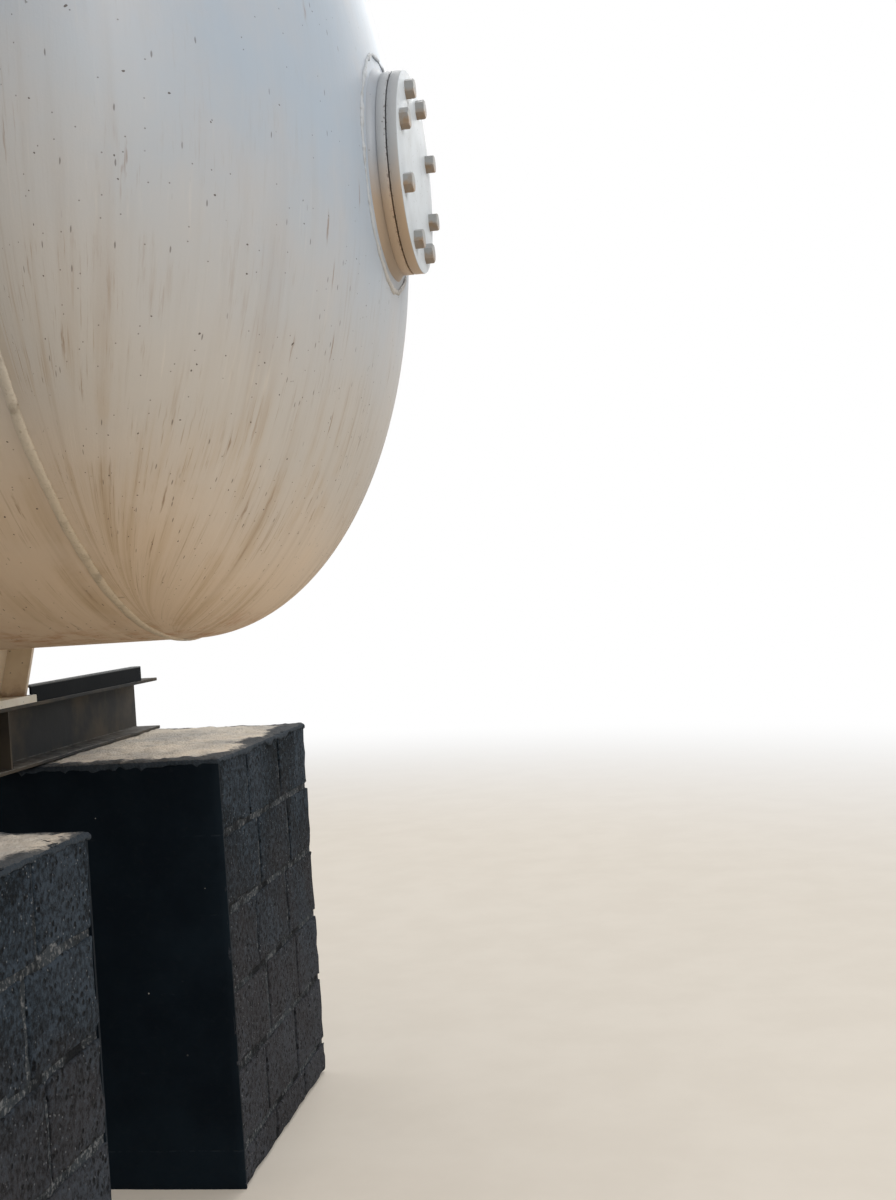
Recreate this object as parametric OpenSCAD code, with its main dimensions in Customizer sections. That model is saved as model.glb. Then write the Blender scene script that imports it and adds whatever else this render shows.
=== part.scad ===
// Horizontal pressure tank on saddles, steel beams and block masonry.
// X runs along the tank towards the manway end, Y across it, Z up from the ground.

/* [Vessel] */
// Outside diameter of the shell
tank_d = 2400; // [1600:10:3200]
// Length of one shell course between girth welds
course_len = 2500; // [1800:50:3000]
// Shell plate thickness
shell_t = 14; // [8:1:25]
// Head plate thickness
head_t = 16; // [10:1:30]
// Depth of a dished head, without its straight flange
head_depth = 625; // [450:5:700]
// Straight flange between the dish and the head weld
head_flange_len = 25; // [20:1:80]
// Half width of a weld bead
bead_w = 11; // [6:1:16]
// Height of a weld bead above the plate
bead_h = 5; // [2:0.5:8]

/* [Manway] */
// Outside diameter of the manway cover and ring flange
cover_d = 522; // [480:2:620]
// Thickness of the cover
cover_t = 28; // [20:1:45]
// Thickness of the ring flange
ring_t = 24; // [18:1:40]
// Thickness of the gasket
gasket_t = 3; // [2:0.5:6]
// Outside diameter of the neck pipe
neck_d = 356; // [320:1:370]
// Wall of the neck pipe
neck_t = 12; // [8:1:20]
// Distance from the crown of the head to the back of the ring flange
neck_out = 5; // [4:1:60]
// How far the neck reaches inside the crown of the head
neck_in = 45; // [30:1:90]
// Widest diameter of the welded collar, where it meets the head
collar_d = 602; // [560:2:660]
// Distance from the ring flange's rim in to the top of the collar
collar_step = 8; // [2:1:20]
// Bolt circle of the cover
cover_pcd = 424; // [405:1:440]
// Number of cover bolts
cover_bolts = 8; // [6:1:12]
// Turn of the first cover bolt from straight up
cover_bolt_turn = 23; // [0:1:45]
// Bolt diameter on the cover
cover_bolt_d = 30; // [20:1:33]
// Width across the flats of the cover bolts
cover_bolt_af = 46; // [34:1:50]
// Height of a cover bolt's head and nut
cover_bolt_h = 24; // [14:1:30]

/* [Saddles] */
// Height of the tank's underside above the base plate
saddle_h = 160; // [120:5:260]
// Distance from the head weld to the middle of a saddle
saddle_in = 790; // [700:10:1300]
// Lean of the saddle's end plates from upright
end_lean = 28; // [0:1:35]
// Length of the base plate across the tank
base_len = 1000; // [900:10:1400]
// Width of the base plate along the tank
base_w = 200; // [160:5:300]
// Thickness of the base plate
base_t = 24; // [14:1:32]
// Thickness of the web and the ribs
web_t = 16; // [10:1:24]
// Thickness of the wear plate
wear_t = 12; // [8:1:20]
// Width of the wear plate along the tank
wear_w = 300; // [240:5:400]
// Angle that the wear plate runs on past the saddle's horns
wear_over = 5; // [3:1:8]
// Distance of an end plate's foot from the end of the base plate
foot_in = 50; // [20:5:80]
// Distance of the ribs' edges from the base plate's edge
end_set_in = 10; // [5:1:25]
// Distance of the inner ribs from the middle
rib_y = 190; // [120:5:260]
// Reach of an inner rib from the web at its top
rib_top_w = 70; // [50:5:90]

/* [Beams] */
// Depth of the I-beam
beam_h = 200; // [150:1:260]
// Width of the beam's flanges
beam_w = 200; // [140:1:240]
// Thickness of the beam's flanges
beam_tf = 12; // [8:1:18]
// Thickness of the beam's web
beam_tw = 9; // [6:1:14]
// Distance of the outer beam stiffeners from the middle
stiffener_y = 300; // [200:5:480]
// Thickness of a beam stiffener
stiffener_t = 10; // [6:1:16]
// Height of the stop channel that lies on the beam against the saddle
channel_h = 55; // [50:1:90]
// Width of the stop channel
channel_w = 38; // [30:1:60]
// Plate thickness of the stop channel
channel_t = 7; // [5:0.5:10]
// Length of the stop channel
channel_len = 950; // [500:5:1060]
// Distance of the stop channel from the beam's outer edge
channel_in = 3; // [0:1:60]

/* [Masonry] */
// Half of the distance between tanks in the row
bay_half = 1575; // [1500:5:1800]
// Height of the far walls, on which the beams lie
plinth_h = 1361; // [1100:1:1500]
// Height of the near walls, which are bedded up to the beams
near_h = 1320; // [1050:1:1390]
// Distance from the head weld back to the outer face of the walls
plinth_in = 110; // [60:5:240]
// Thickness of the walls, along the tank
plinth_w = 1350; // [1200:5:1500]
// Half of the gap between the near and the far wall, under the tank
gap_half = 510; // [400:5:560]
// Width of the mortar bed between a near wall and its beam
bed_w = 300; // [220:5:400]

/* [Outlet] */
// Distance of the bottom outlet from the front head weld
outlet_in = 1950; // [1800:10:2400]
// Outside diameter of the outlet pipe
outlet_d = 114; // [80:1:140]
// Wall of the outlet pipe
outlet_t = 8; // [5:0.5:12]
// Length of the outlet pipe below the tank
outlet_len = 70; // [50:5:150]
// Outside diameter of the outlet flanges
outlet_flange_d = 230; // [200:5:280]
// Thickness of an outlet flange
outlet_flange_t = 22; // [16:1:30]
// Bolt circle of the outlet flanges
outlet_pcd = 190; // [170:1:220]
// Bolt hole diameter in the open flange at the outlet's end
outlet_hole_d = 19; // [14:1:24]
// Bolt hole diameter in the outlet flanges that are bolted up
joint_hole_d = 18; // [14:1:24]
// Number of outlet flange bolts
outlet_bolts = 8; // [4:4:12]
// Distance between the faces of the valve
valve_len = 230; // [200:5:320]
// Diameter of the valve's round body
valve_d = 190; // [160:2:200]
// Diameter of the boss that carries the valve's stem
valve_boss_d = 96; // [80:2:120]
// How far the stem boss stands out of the round body
valve_boss_out = 20; // [10:1:40]
// Diameter of the bonnet flange on the stem boss
bonnet_d = 124; // [104:2:150]
// Thickness of the bonnet flange
bonnet_t = 16; // [10:1:24]
// Diameter of the gland
gland_d = 68; // [50:2:90]
// Length of the gland
gland_len = 30; // [20:1:50]
// Diameter of the valve stem
stem_d = 28; // [18:1:34]
// Length of the stem beyond the gland
stem_len = 34; // [26:1:60]
// Thickness of the lever
lever_t = 12; // [6:1:16]
// Width of the lever's grip
lever_w = 30; // [20:1:44]
// Length of the lever from the stem's centre
lever_len = 260; // [180:5:340]
// Length of the drop pipe under the valve
drop_len = 200; // [100:5:260]
// Width across the flats of the flange nuts
nut_af = 27; // [22:1:32]
// Height of a flange nut
nut_h = 14; // [10:1:18]
// Reach of a stud past its nut
stud_over = 2; // [1:1:12]

/* [Top fittings] */
// Distance of the relief nozzle from the tank's middle
relief_x = 500; // [300:10:900]
// Outside diameter of the top nozzles
top_nozzle_d = 89; // [60:1:114]
// Wall of the top nozzles
top_nozzle_t = 7; // [4:1:10]
// Height of the top nozzles above the shell
top_nozzle_h = 110; // [80:5:200]
// Outside diameter of the top flanges
top_flange_d = 190; // [160:5:220]
// Thickness of a top flange
top_flange_t = 20; // [14:1:28]
// Diameter of the relief valve's body
relief_d = 120; // [100:2:150]
// Height of the relief valve's body above its flange
relief_body_h = 110; // [90:5:150]
// Length of the relief valve's side outlet from the centre line
relief_out = 130; // [110:5:180]
// Diameter of the side outlet's flange
relief_out_d = 152; // [120:2:190]
// Height of the spring bonnet
relief_bonnet_h = 150; // [110:5:220]
// Distance of the lifting lugs from the tank's middle
lug_x = 2300; // [1800:10:2700]
// Thickness of a lifting lug
lug_t = 25; // [16:1:32]
// Length of a lifting lug at its foot
lug_len = 220; // [160:5:300]
// Height of the lug's eye above the shell
lug_eye_h = 95; // [70:5:140]
// Diameter of the lug's eye
lug_eye_d = 52; // [36:1:60]
// Width of metal round the eye
lug_rim = 29; // [20:1:40]
// Thickness of the pad under a lug
pad_t = 12; // [8:1:20]
// Margin of the pad round a lug's foot
pad_over = 50; // [30:5:80]

/* [Hidden] */
$fn = 96;
eps = 1;
tank_r = tank_d / 2;
shell_len = 3 * course_len;
weld_x = shell_len / 2;
dish_x = weld_x + head_flange_len;
crown_x = dish_x + head_depth;
ring_x = crown_x + neck_out;
gasket_x = ring_x + ring_t;
cover_x = gasket_x + gasket_t;
bolt_head_x = cover_x + cover_t;
// The row frame is centred on the whole part, so the bolt heads shift it
frame_x = -(bolt_head_x + cover_bolt_h - crown_x) / 2;
cover_r = cover_d / 2;
neck_r = neck_d / 2;
collar_r = collar_d / 2;
clearance = 1;
// Difference of diameter between the lever's eye and the stem
stem_fit = 0.6;
beam_z = plinth_h;
base_z = beam_z + beam_h;
web_z = base_z + base_t;
tank_bottom_z = web_z + saddle_h;
axis_z = tank_bottom_z + tank_r;
saddle_x = weld_x - saddle_in;
web_r = tank_r + wear_t;
foot_y = base_len / 2 - foot_in;
lean = tan(end_lean);
// The end plate's outer face meets the wear plate where y = lean_c + lean * s, s below the axis
lean_c = foot_y + lean * (axis_z - web_z);
horn_s = (-lean_c * lean - sqrt(web_r * web_r * (1 + lean * lean) - lean_c * lean_c)) / (1 + lean * lean);
horn_angle = acos(-horn_s / web_r);
// The web and the end plates are drawn up to where that face passes nearest to the axis, then cut
near_s = -lean_c * lean / (1 + lean * lean);
end_top_y = lean_c + lean * near_s;
end_top_z = axis_z + near_s;
plinth_x = weld_x - plinth_in - plinth_w / 2;
outlet_x = weld_x - outlet_in;
outlet_face_z = tank_bottom_z - outlet_len - outlet_flange_t;
valve_z = outlet_face_z - gasket_t - valve_len / 2;
drop_top_z = outlet_face_z - 2 * gasket_t - valve_len;
outlet_r = outlet_d / 2;
outlet_bore_r = outlet_r - outlet_t;
stud_d = joint_hole_d - 2;
stem_x = valve_d / 2 + valve_boss_out;
gland_x = stem_x + bonnet_t;
stem_end_x = gland_x + gland_len;
tank_top_z = axis_z + tank_r;
top_r = top_nozzle_d / 2;
top_face_z = tank_top_z + top_nozzle_h;
lug_eye_z = tank_top_z + lug_eye_h;
head_steps = 36;

white_paint = [0.86, 0.85, 0.81];
bare_bolt = [0.72, 0.70, 0.66];
navy_paint = [0.07, 0.09, 0.13];
block_grey = [0.20, 0.21, 0.24];
rusty_paint = [0.55, 0.42, 0.30];

// Turns a shape drawn about Z so that its axis lies along X
module along_x() {
    rotate([0, 90, 0]) children();
}

// Moves children from the vessel's own centre to the row frame
module vessel_frame() {
    translate([frame_x, 0, axis_z]) children();
}

// Points of an ellipse from radius r_from out to its rim, as [radius, axial] pairs
function dish(rim, depth, r_from, steps) =
    [for (i = [0:steps])
        let (a0 = asin(min(1, r_from / rim)), a = a0 + (90 - a0) * i / steps)
        [rim * sin(a), depth * cos(a)]];

function reversed(list) = [for (i = [len(list) - 1:-1:0]) list[i]];

// One shell course, centred on the given place along the vessel
module shell_course(x_mid) {
    color(white_paint)
    vessel_frame() translate([x_mid - course_len / 2, 0, 0]) along_x()
        difference() {
            cylinder(h = course_len, r = tank_r);
            translate([0, 0, -eps]) cylinder(h = course_len + 2 * eps, r = tank_r - shell_t);
        }
}

// A dished head with its straight flange, drawn from the weld outwards; open at hole_r
module head_profile(hole_r) {
    outer = dish(tank_r, head_depth, hole_r, head_steps);
    inner = dish(tank_r - head_t, head_depth - head_t, hole_r, head_steps);
    rotate_extrude() polygon(concat(
        [for (p = outer) [p[0], p[1] + head_flange_len]],
        [[tank_r, 0], [tank_r - head_t, 0]],
        [for (p = reversed(inner)) [p[0], p[1] + head_flange_len]]));
}

module head_front() {
    color(white_paint)
    vessel_frame() translate([weld_x, 0, 0]) along_x() head_profile(neck_r);
}

module head_rear() {
    color(white_paint)
    vessel_frame() mirror([1, 0, 0]) translate([weld_x, 0, 0]) along_x() head_profile(0);
}

// Cross-section of a weld bead that lies on a plate at radius r
module bead_section(r) {
    intersection() {
        translate([r, -bead_w]) square([2 * bead_h, 2 * bead_w]);
        bead_r = (bead_w * bead_w + bead_h * bead_h) / (2 * bead_h);
        translate([r + bead_h - bead_r, 0]) circle(r = bead_r);
    }
}

// A weld bead right round the shell
module girth_bead(x) {
    color(white_paint)
    vessel_frame() translate([x, 0, 0]) along_x() rotate_extrude() bead_section(tank_r);
}

// Weld beads between the courses
module girth_seams() {
    for (x = [-course_len / 2, course_len / 2])
        girth_bead(x);
}

// Straight weld beads, one to a course and turned from one course to the next
module long_seams() {
    turns = [-52, 52, -52];
    run = course_len - 2 * bead_w - 2 * clearance;
    color(white_paint)
    for (i = [0:2])
        vessel_frame() translate([(i - 1) * course_len - run / 2, 0, 0]) rotate([90 + turns[i], 0, 0])
            rotate([90, 0, 90]) linear_extrude(run) bead_section(tank_r);
}

// Neck pipe from inside the head to the face of the ring flange
module manway_neck() {
    color(white_paint)
    vessel_frame() translate([crown_x - neck_in, 0, 0]) along_x()
        difference() {
            cylinder(h = neck_in + neck_out + ring_t, r = neck_r);
            translate([0, 0, -eps])
                cylinder(h = neck_in + neck_out + ring_t + 2 * eps, r = neck_r - neck_t);
        }
}

// Welded collar that flares from the ring flange out to the head
module manway_collar() {
    dished = dish(tank_r, head_depth, neck_r, head_steps);
    foot = [for (p = dished) if (p[0] < collar_r) [p[0], p[1] + dish_x]];
    toe = [collar_r, dish_x + head_depth * sqrt(1 - pow(collar_r / tank_r, 2))];
    top_r = cover_r - collar_step;
    sweep = ring_x - toe[1];
    color(white_paint)
    vessel_frame() along_x() rotate_extrude() difference() {
        polygon(concat([[neck_r, ring_x]], foot, [toe, [collar_r, ring_x]]));
        translate([top_r + sweep, ring_x]) circle(r = sweep);
        translate([top_r + sweep, toe[1] + clearance]) square([collar_r, sweep]);
    }
}

module bolt_ring(count, pcd, turn = 0) {
    for (i = [0:count - 1]) rotate([0, 0, turn + i * 360 / count]) translate([pcd / 2, 0, 0]) children();
}

// A flat ring or disc along X with the cover's bolt holes
module manway_plate(x, t, bore_r) {
    vessel_frame() translate([x, 0, 0]) along_x()
        difference() {
            cylinder(h = t, r = cover_r);
            if (bore_r > 0) translate([0, 0, -eps]) cylinder(h = t + 2 * eps, r = bore_r);
            bolt_ring(cover_bolts, cover_pcd, 180 - cover_bolt_turn)
                translate([0, 0, -eps]) cylinder(h = t + 2 * eps, d = cover_bolt_d + 3, $fn = 32);
        }
}

module manway_ring() {
    color(white_paint) manway_plate(ring_x, ring_t, neck_r);
}

module manway_gasket() {
    color([0.15, 0.13, 0.12])
    vessel_frame() translate([gasket_x, 0, 0]) along_x()
        difference() {
            cylinder(h = gasket_t, r = cover_pcd / 2 - cover_bolt_d / 2 - 2);
            translate([0, 0, -eps]) cylinder(h = gasket_t + 2 * eps, r = neck_r - neck_t);
        }
}

module manway_cover() {
    color(white_paint) manway_plate(cover_x, cover_t, 0);
}

// A hexagonal prism about Z
module hex(af, h) {
    cylinder(h = h, d = af / cos(30), $fn = 6);
}

// Cap bolts screwed through the cover into the ring flange
module manway_bolts() {
    color(bare_bolt)
    vessel_frame() translate([ring_x, 0, 0]) along_x()
        bolt_ring(cover_bolts, cover_pcd, 180 - cover_bolt_turn) {
            cylinder(h = bolt_head_x - ring_x + eps, d = cover_bolt_d, $fn = 32);
            translate([0, 0, bolt_head_x - ring_x]) hex(cover_bolt_af, cover_bolt_h);
        }
}

// Places a saddle's piece at one end of the tank: side 1 is the manway end
module at_saddle(side) {
    translate([frame_x + side * saddle_x, 0, 0]) children();
}

// Cylinder along X about the tank axis
module axis_cylinder(r, w) {
    translate([0, 0, axis_z]) along_x() cylinder(h = w, r = r, center = true, $fn = 192);
}

module saddle_wear_plate(side) {
    half = horn_angle + wear_over;
    reach = 2 * tank_r;
    color(white_paint)
    at_saddle(side) intersection() {
        difference() {
            axis_cylinder(web_r, wear_w);
            axis_cylinder(tank_r, wear_w + 2 * eps);
        }
        translate([-wear_w, 0, axis_z]) rotate([90, 0, 90]) linear_extrude(2 * wear_w)
            polygon([[0, 0], [-reach * sin(half), -reach * cos(half)], [-reach, -reach],
                [reach, -reach], [reach * sin(half), -reach * cos(half)]]);
    }
}

// Upright plate along YZ under the tank, cut to the wear plate
module saddle_web(side) {
    low = foot_y - web_t;
    high = end_top_y - web_t;
    color(white_paint)
    at_saddle(side) difference() {
        translate([-web_t / 2, 0, 0]) rotate([90, 0, 90]) linear_extrude(web_t)
            polygon([[-low, web_z], [low, web_z], [high, end_top_z], [-high, end_top_z]]);
        axis_cylinder(web_r, web_t + 2 * eps);
    }
}

// End plate that leans out from the base plate to the wear plate
module saddle_end_rib() {
    rotate([90, 0, 90]) linear_extrude(base_w - 2 * end_set_in, center = true)
        polygon([[foot_y - web_t, web_z], [foot_y, web_z],
            [end_top_y, end_top_z], [end_top_y - web_t, end_top_z]]);
}

// Inner rib that narrows from the base plate to the wear plate
module saddle_inner_rib(dir) {
    foot = base_w / 2 - end_set_in;
    rotate([90, 0, 0]) linear_extrude(web_t, center = true)
        polygon([[dir * web_t / 2, web_z], [dir * foot, web_z],
            [dir * rib_top_w, tank_bottom_z], [dir * rib_top_w, axis_z], [dir * web_t / 2, axis_z]]);
}

module saddle_ribs(side) {
    color(white_paint)
    at_saddle(side) difference() {
        union() {
            saddle_end_rib();
            mirror([0, 1, 0]) saddle_end_rib();
            for (y = [-rib_y, rib_y], dir = [-1, 1])
                translate([0, y, 0]) saddle_inner_rib(dir);
        }
        axis_cylinder(web_r, base_w + 2 * eps);
    }
}

module saddle_base(side) {
    color(white_paint)
    at_saddle(side) translate([-base_w / 2, -base_len / 2, base_z]) cube([base_w, base_len, base_t]);
}

// Outline of the I-beam with its foot at z = 0
module beam_section() {
    polygon([[-beam_w / 2, 0], [beam_w / 2, 0], [beam_w / 2, beam_tf], [beam_tw / 2, beam_tf],
        [beam_tw / 2, beam_h - beam_tf], [beam_w / 2, beam_h - beam_tf], [beam_w / 2, beam_h],
        [-beam_w / 2, beam_h], [-beam_w / 2, beam_h - beam_tf], [-beam_tw / 2, beam_h - beam_tf],
        [-beam_tw / 2, beam_tf], [-beam_w / 2, beam_tf]]);
}

module beam(side) {
    color(navy_paint)
    at_saddle(side) translate([0, bay_half, beam_z]) rotate([90, 0, 0])
        linear_extrude(2 * bay_half) beam_section();
}

module beam_stiffeners(side) {
    w = (beam_w - beam_tw) / 2;
    color(navy_paint)
    at_saddle(side) for (y = [-stiffener_y, 0, stiffener_y], dir = [-1, 1])
        translate([dir * (beam_tw / 2 + w / 2) - w / 2, y - stiffener_t / 2, beam_z + beam_tf])
            cube([w, stiffener_t, beam_h - 2 * beam_tf]);
}

// Stop channel near the beam's outer edge, from the saddle's end plate outwards, notched over the base plate
module beam_channel(side) {
    out = beam_w / 2 - channel_in;
    back = out - channel_w;
    low = base_z;
    high = base_z + channel_h;
    start = foot_y + lean * (channel_h - base_t) + clearance;
    color(navy_paint)
    at_saddle(side) difference() {
        translate([0, start + channel_len, 0]) rotate([90, 0, 0]) linear_extrude(channel_len)
            polygon([[side * back, low], [side * out, low], [side * out, high], [side * back, high],
                [side * back, high - channel_t], [side * (out - channel_t), high - channel_t],
                [side * (out - channel_t), low + channel_t], [side * back, low + channel_t]]);
        translate([-beam_w / 2, 0, low - eps])
            cube([beam_w, base_len / 2 + clearance, base_t + clearance + eps]);
    }
}

// Block wall under one end of the tank: dir 1 is the far one, dir -1 the near one
module plinth(side, dir, h) {
    run = bay_half - gap_half;
    color(block_grey)
    translate([frame_x + side * plinth_x - plinth_w / 2, dir * (gap_half + run / 2) - run / 2, 0])
        cube([plinth_w, run, h]);
}

// Mortar bed between the lower near wall and the beam
module mortar_bed(side) {
    color(block_grey)
    at_saddle(side) translate([-bed_w / 2, -bay_half, near_h])
        cube([bed_w, bay_half - gap_half, beam_z - near_h]);
}

// Flange about Z with its bolt holes, its lower face at z = 0
module pipe_flange(d, t, bore_r, pcd, hole_d, count) {
    difference() {
        cylinder(h = t, d = d);
        translate([0, 0, -eps]) cylinder(h = t + 2 * eps, r = bore_r);
        bolt_ring(count, pcd, 180 / count) translate([0, 0, -eps])
            cylinder(h = t + 2 * eps, d = hole_d, $fn = 32);
    }
}

module at_outlet() {
    translate([frame_x + outlet_x, 0, 0]) children();
}

// A flange of the outlet pipe's size
module outlet_flange(hole_d = joint_hole_d) {
    pipe_flange(outlet_flange_d, outlet_flange_t, outlet_bore_r, outlet_pcd, hole_d, outlet_bolts);
}

module outlet_nozzle() {
    pipe_h = outlet_len + outlet_flange_t + shell_t;
    color(rusty_paint)
    at_outlet() difference() {
        union() {
            translate([0, 0, outlet_face_z]) cylinder(h = pipe_h, r = outlet_r);
            translate([0, 0, outlet_face_z]) outlet_flange();
        }
        translate([0, 0, outlet_face_z - eps]) cylinder(h = pipe_h + 2 * eps, r = outlet_bore_r);
        axis_cylinder(tank_r, 2 * outlet_flange_d);
    }
}

// Valve body: a round bowl between two flanges
module outlet_valve() {
    end_t = outlet_flange_t;
    low = valve_z - valve_len / 2;
    color(rusty_paint)
    at_outlet() difference() {
        union() {
            for (z = [low, low + valve_len - end_t]) translate([0, 0, z]) outlet_flange();
            translate([0, 0, low + eps]) cylinder(h = valve_len - 2 * eps, r = outlet_r + 6);
            translate([0, 0, valve_z]) rotate_extrude()
                intersection() {
                    circle(d = valve_d);
                    translate([0, end_t - valve_len / 2]) square([valve_d, valve_len - 2 * end_t]);
                }
            translate([0, 0, valve_z]) rotate([0, 90, 0]) cylinder(h = stem_x, d = valve_boss_d);
        }
        translate([0, 0, low - eps]) cylinder(h = valve_len + 2 * eps, r = outlet_bore_r);
    }
}

// Bonnet flange, gland and stem on the side of the valve
module outlet_valve_bonnet() {
    color(rusty_paint)
    at_outlet() translate([0, 0, valve_z]) rotate([0, 90, 0]) rotate_extrude()
        polygon([[0, stem_x], [bonnet_d / 2, stem_x], [bonnet_d / 2, gland_x], [gland_d / 2, gland_x],
            [gland_d / 2, stem_end_x], [stem_d / 2, stem_end_x], [stem_d / 2, stem_end_x + stem_len],
            [0, stem_end_x + stem_len]]);
}

// Flat lever on the stem, hanging down beside the valve
module outlet_valve_lever() {
    color([0.60, 0.58, 0.54])
    at_outlet() translate([stem_end_x + stem_len - lever_t - clearance, 0, valve_z]) rotate([0, 90, 0])
        difference() {
            union() {
                cylinder(h = lever_t, d = 2 * stem_d);
                translate([0, -lever_w / 2, 0]) cube([lever_len - lever_w / 2, lever_w, lever_t]);
                translate([lever_len - lever_w / 2, 0, 0]) cylinder(h = lever_t, d = lever_w);
            }
            translate([0, 0, -eps]) cylinder(h = lever_t + 2 * eps, d = stem_d + stem_fit);
        }
}

module outlet_drop_pipe() {
    low = drop_top_z - drop_len;
    color(rusty_paint)
    at_outlet() difference() {
        union() {
            translate([0, 0, drop_top_z - outlet_flange_t]) outlet_flange();
            translate([0, 0, low]) cylinder(h = drop_len, r = outlet_r);
            translate([0, 0, low]) outlet_flange(outlet_hole_d);
        }
        translate([0, 0, low - eps]) cylinder(h = drop_len + 2 * eps, r = outlet_bore_r);
    }
}

// A stud with a nut at each end, its middle at z = 0
module stud(d, grip) {
    cylinder(h = grip + 2 * (nut_h + stud_over), d = d, center = true, $fn = 24);
    for (s = [-1, 1])
        translate([0, 0, s * (grip + nut_h) / 2 - nut_h / 2]) hex(nut_af, nut_h);
}

module outlet_bolts() {
    grip = 2 * outlet_flange_t + gasket_t;
    color(bare_bolt)
    for (z = [outlet_face_z - gasket_t / 2, drop_top_z + gasket_t / 2])
        at_outlet() translate([0, 0, z]) bolt_ring(outlet_bolts, outlet_pcd, 180 / outlet_bolts)
            stud(stud_d, grip);
}

// Upright nozzle with a flange on the top of the tank, its foot cut to the shell
module top_nozzle(x) {
    color(white_paint)
    translate([frame_x + x, 0, 0]) difference() {
        union() {
            translate([0, 0, tank_top_z - top_flange_t]) cylinder(h = top_nozzle_h + top_flange_t, r = top_r);
            translate([0, 0, top_face_z - top_flange_t]) cylinder(h = top_flange_t, d = top_flange_d);
        }
        translate([0, 0, tank_top_z - 2 * top_flange_t])
            cylinder(h = top_nozzle_h + 3 * top_flange_t, r = top_r - top_nozzle_t);
        axis_cylinder(tank_r, 2 * top_flange_d);
    }
}

// Spring relief valve: an inlet flange, a bowl with a side outlet, a bonnet and a cap
module relief_valve() {
    r = relief_d / 2;
    bowl_z = top_flange_t + relief_body_h;
    bonnet_z = bowl_z + relief_bonnet_h;
    mid_z = top_flange_t + relief_body_h / 2;
    color(rusty_paint)
    translate([frame_x + relief_x, 0, top_face_z]) {
        rotate_extrude() polygon([[0, 0], [top_flange_d / 2, 0], [top_flange_d / 2, top_flange_t],
            [top_r, top_flange_t], [r, mid_z - r / 3], [r, bowl_z - bonnet_t],
            [r + bonnet_t, bowl_z - bonnet_t], [r + bonnet_t, bowl_z + bonnet_t],
            [r * 0.8, bowl_z + bonnet_t], [r * 0.6, bonnet_z],
            [r * 0.5, bonnet_z], [r * 0.5, bonnet_z + 2 * bonnet_t], [0, bonnet_z + 2 * bonnet_t]]);
        translate([0, 0, mid_z]) rotate([0, 90, 0]) cylinder(h = relief_out, r = top_r - eps);
        translate([relief_out - top_flange_t, 0, mid_z]) rotate([0, 90, 0])
            cylinder(h = top_flange_t, d = relief_out_d);
    }
}

// Second top nozzle with its blind flange
module vapour_nozzle() {
    top_nozzle(-relief_x);
    color(white_paint)
    translate([frame_x - relief_x, 0, top_face_z]) cylinder(h = top_flange_t, d = top_flange_d);
}

// Plate lug with a round eye, on a pad that follows the shell
module lifting_lug() {
    difference() {
        union() {
            hull() {
                translate([-lug_len / 2, -lug_t / 2, tank_top_z]) cube([lug_len, lug_t, pad_t]);
                translate([0, lug_t / 2, lug_eye_z]) rotate([90, 0, 0])
                    cylinder(h = lug_t, d = lug_eye_d + 2 * lug_rim, $fn = 48);
            }
            intersection() {
                axis_cylinder(tank_r + pad_t, lug_len + 2 * pad_over);
                translate([-lug_len, -pad_over - lug_t / 2, axis_z])
                    cube([2 * lug_len, 2 * pad_over + lug_t, 2 * tank_r]);
            }
        }
        axis_cylinder(tank_r, 2 * lug_len);
        translate([0, lug_t, lug_eye_z]) rotate([90, 0, 0]) cylinder(h = 2 * lug_t, d = lug_eye_d);
    }
}

module lifting_lugs() {
    color(white_paint)
    for (x = [-lug_x, lug_x])
        translate([frame_x + x, 0, 0]) lifting_lug();
}

shell_course(course_len);  // shell_front_course
shell_course(0);  // shell_middle_course
shell_course(-course_len);  // shell_rear_course
head_front();
head_rear();
girth_bead(weld_x);  // head_seam_front
girth_bead(-weld_x);  // head_seam_rear
girth_seams();
long_seams();
manway_neck();
manway_collar();
manway_ring();
manway_gasket();
manway_cover();
manway_bolts();
saddle_wear_plate(1);  // saddle_front_wear_plate
saddle_web(1);  // saddle_front_web
saddle_ribs(1);  // saddle_front_ribs
saddle_base(1);  // saddle_front_base
saddle_wear_plate(-1);  // saddle_rear_wear_plate
saddle_web(-1);  // saddle_rear_web
saddle_ribs(-1);  // saddle_rear_ribs
saddle_base(-1);  // saddle_rear_base
beam(1);  // beam_front
beam_stiffeners(1);  // beam_front_stiffeners
beam_channel(1);  // beam_front_channel
beam(-1);  // beam_rear
beam_stiffeners(-1);  // beam_rear_stiffeners
beam_channel(-1);  // beam_rear_channel
plinth(1, 1, plinth_h);  // far_wall_front
plinth(1, -1, near_h);  // near_wall_front
mortar_bed(1);  // mortar_bed_front
plinth(-1, 1, plinth_h);  // far_wall_rear
plinth(-1, -1, near_h);  // near_wall_rear
mortar_bed(-1);  // mortar_bed_rear
outlet_nozzle();
outlet_valve();
outlet_valve_bonnet();
outlet_valve_lever();
outlet_drop_pipe();
outlet_bolts();
top_nozzle(relief_x);  // relief_nozzle
relief_valve();
vapour_nozzle();
lifting_lugs();
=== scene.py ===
"""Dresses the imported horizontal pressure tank: surfaces, finishes, studio and camera."""
import logging
import math
from contextlib import contextmanager
from dataclasses import dataclass, field
from enum import Enum
from typing import Any, Callable, Dict, Iterable, Iterator, List, Optional, Sequence, Tuple, Union

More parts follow.
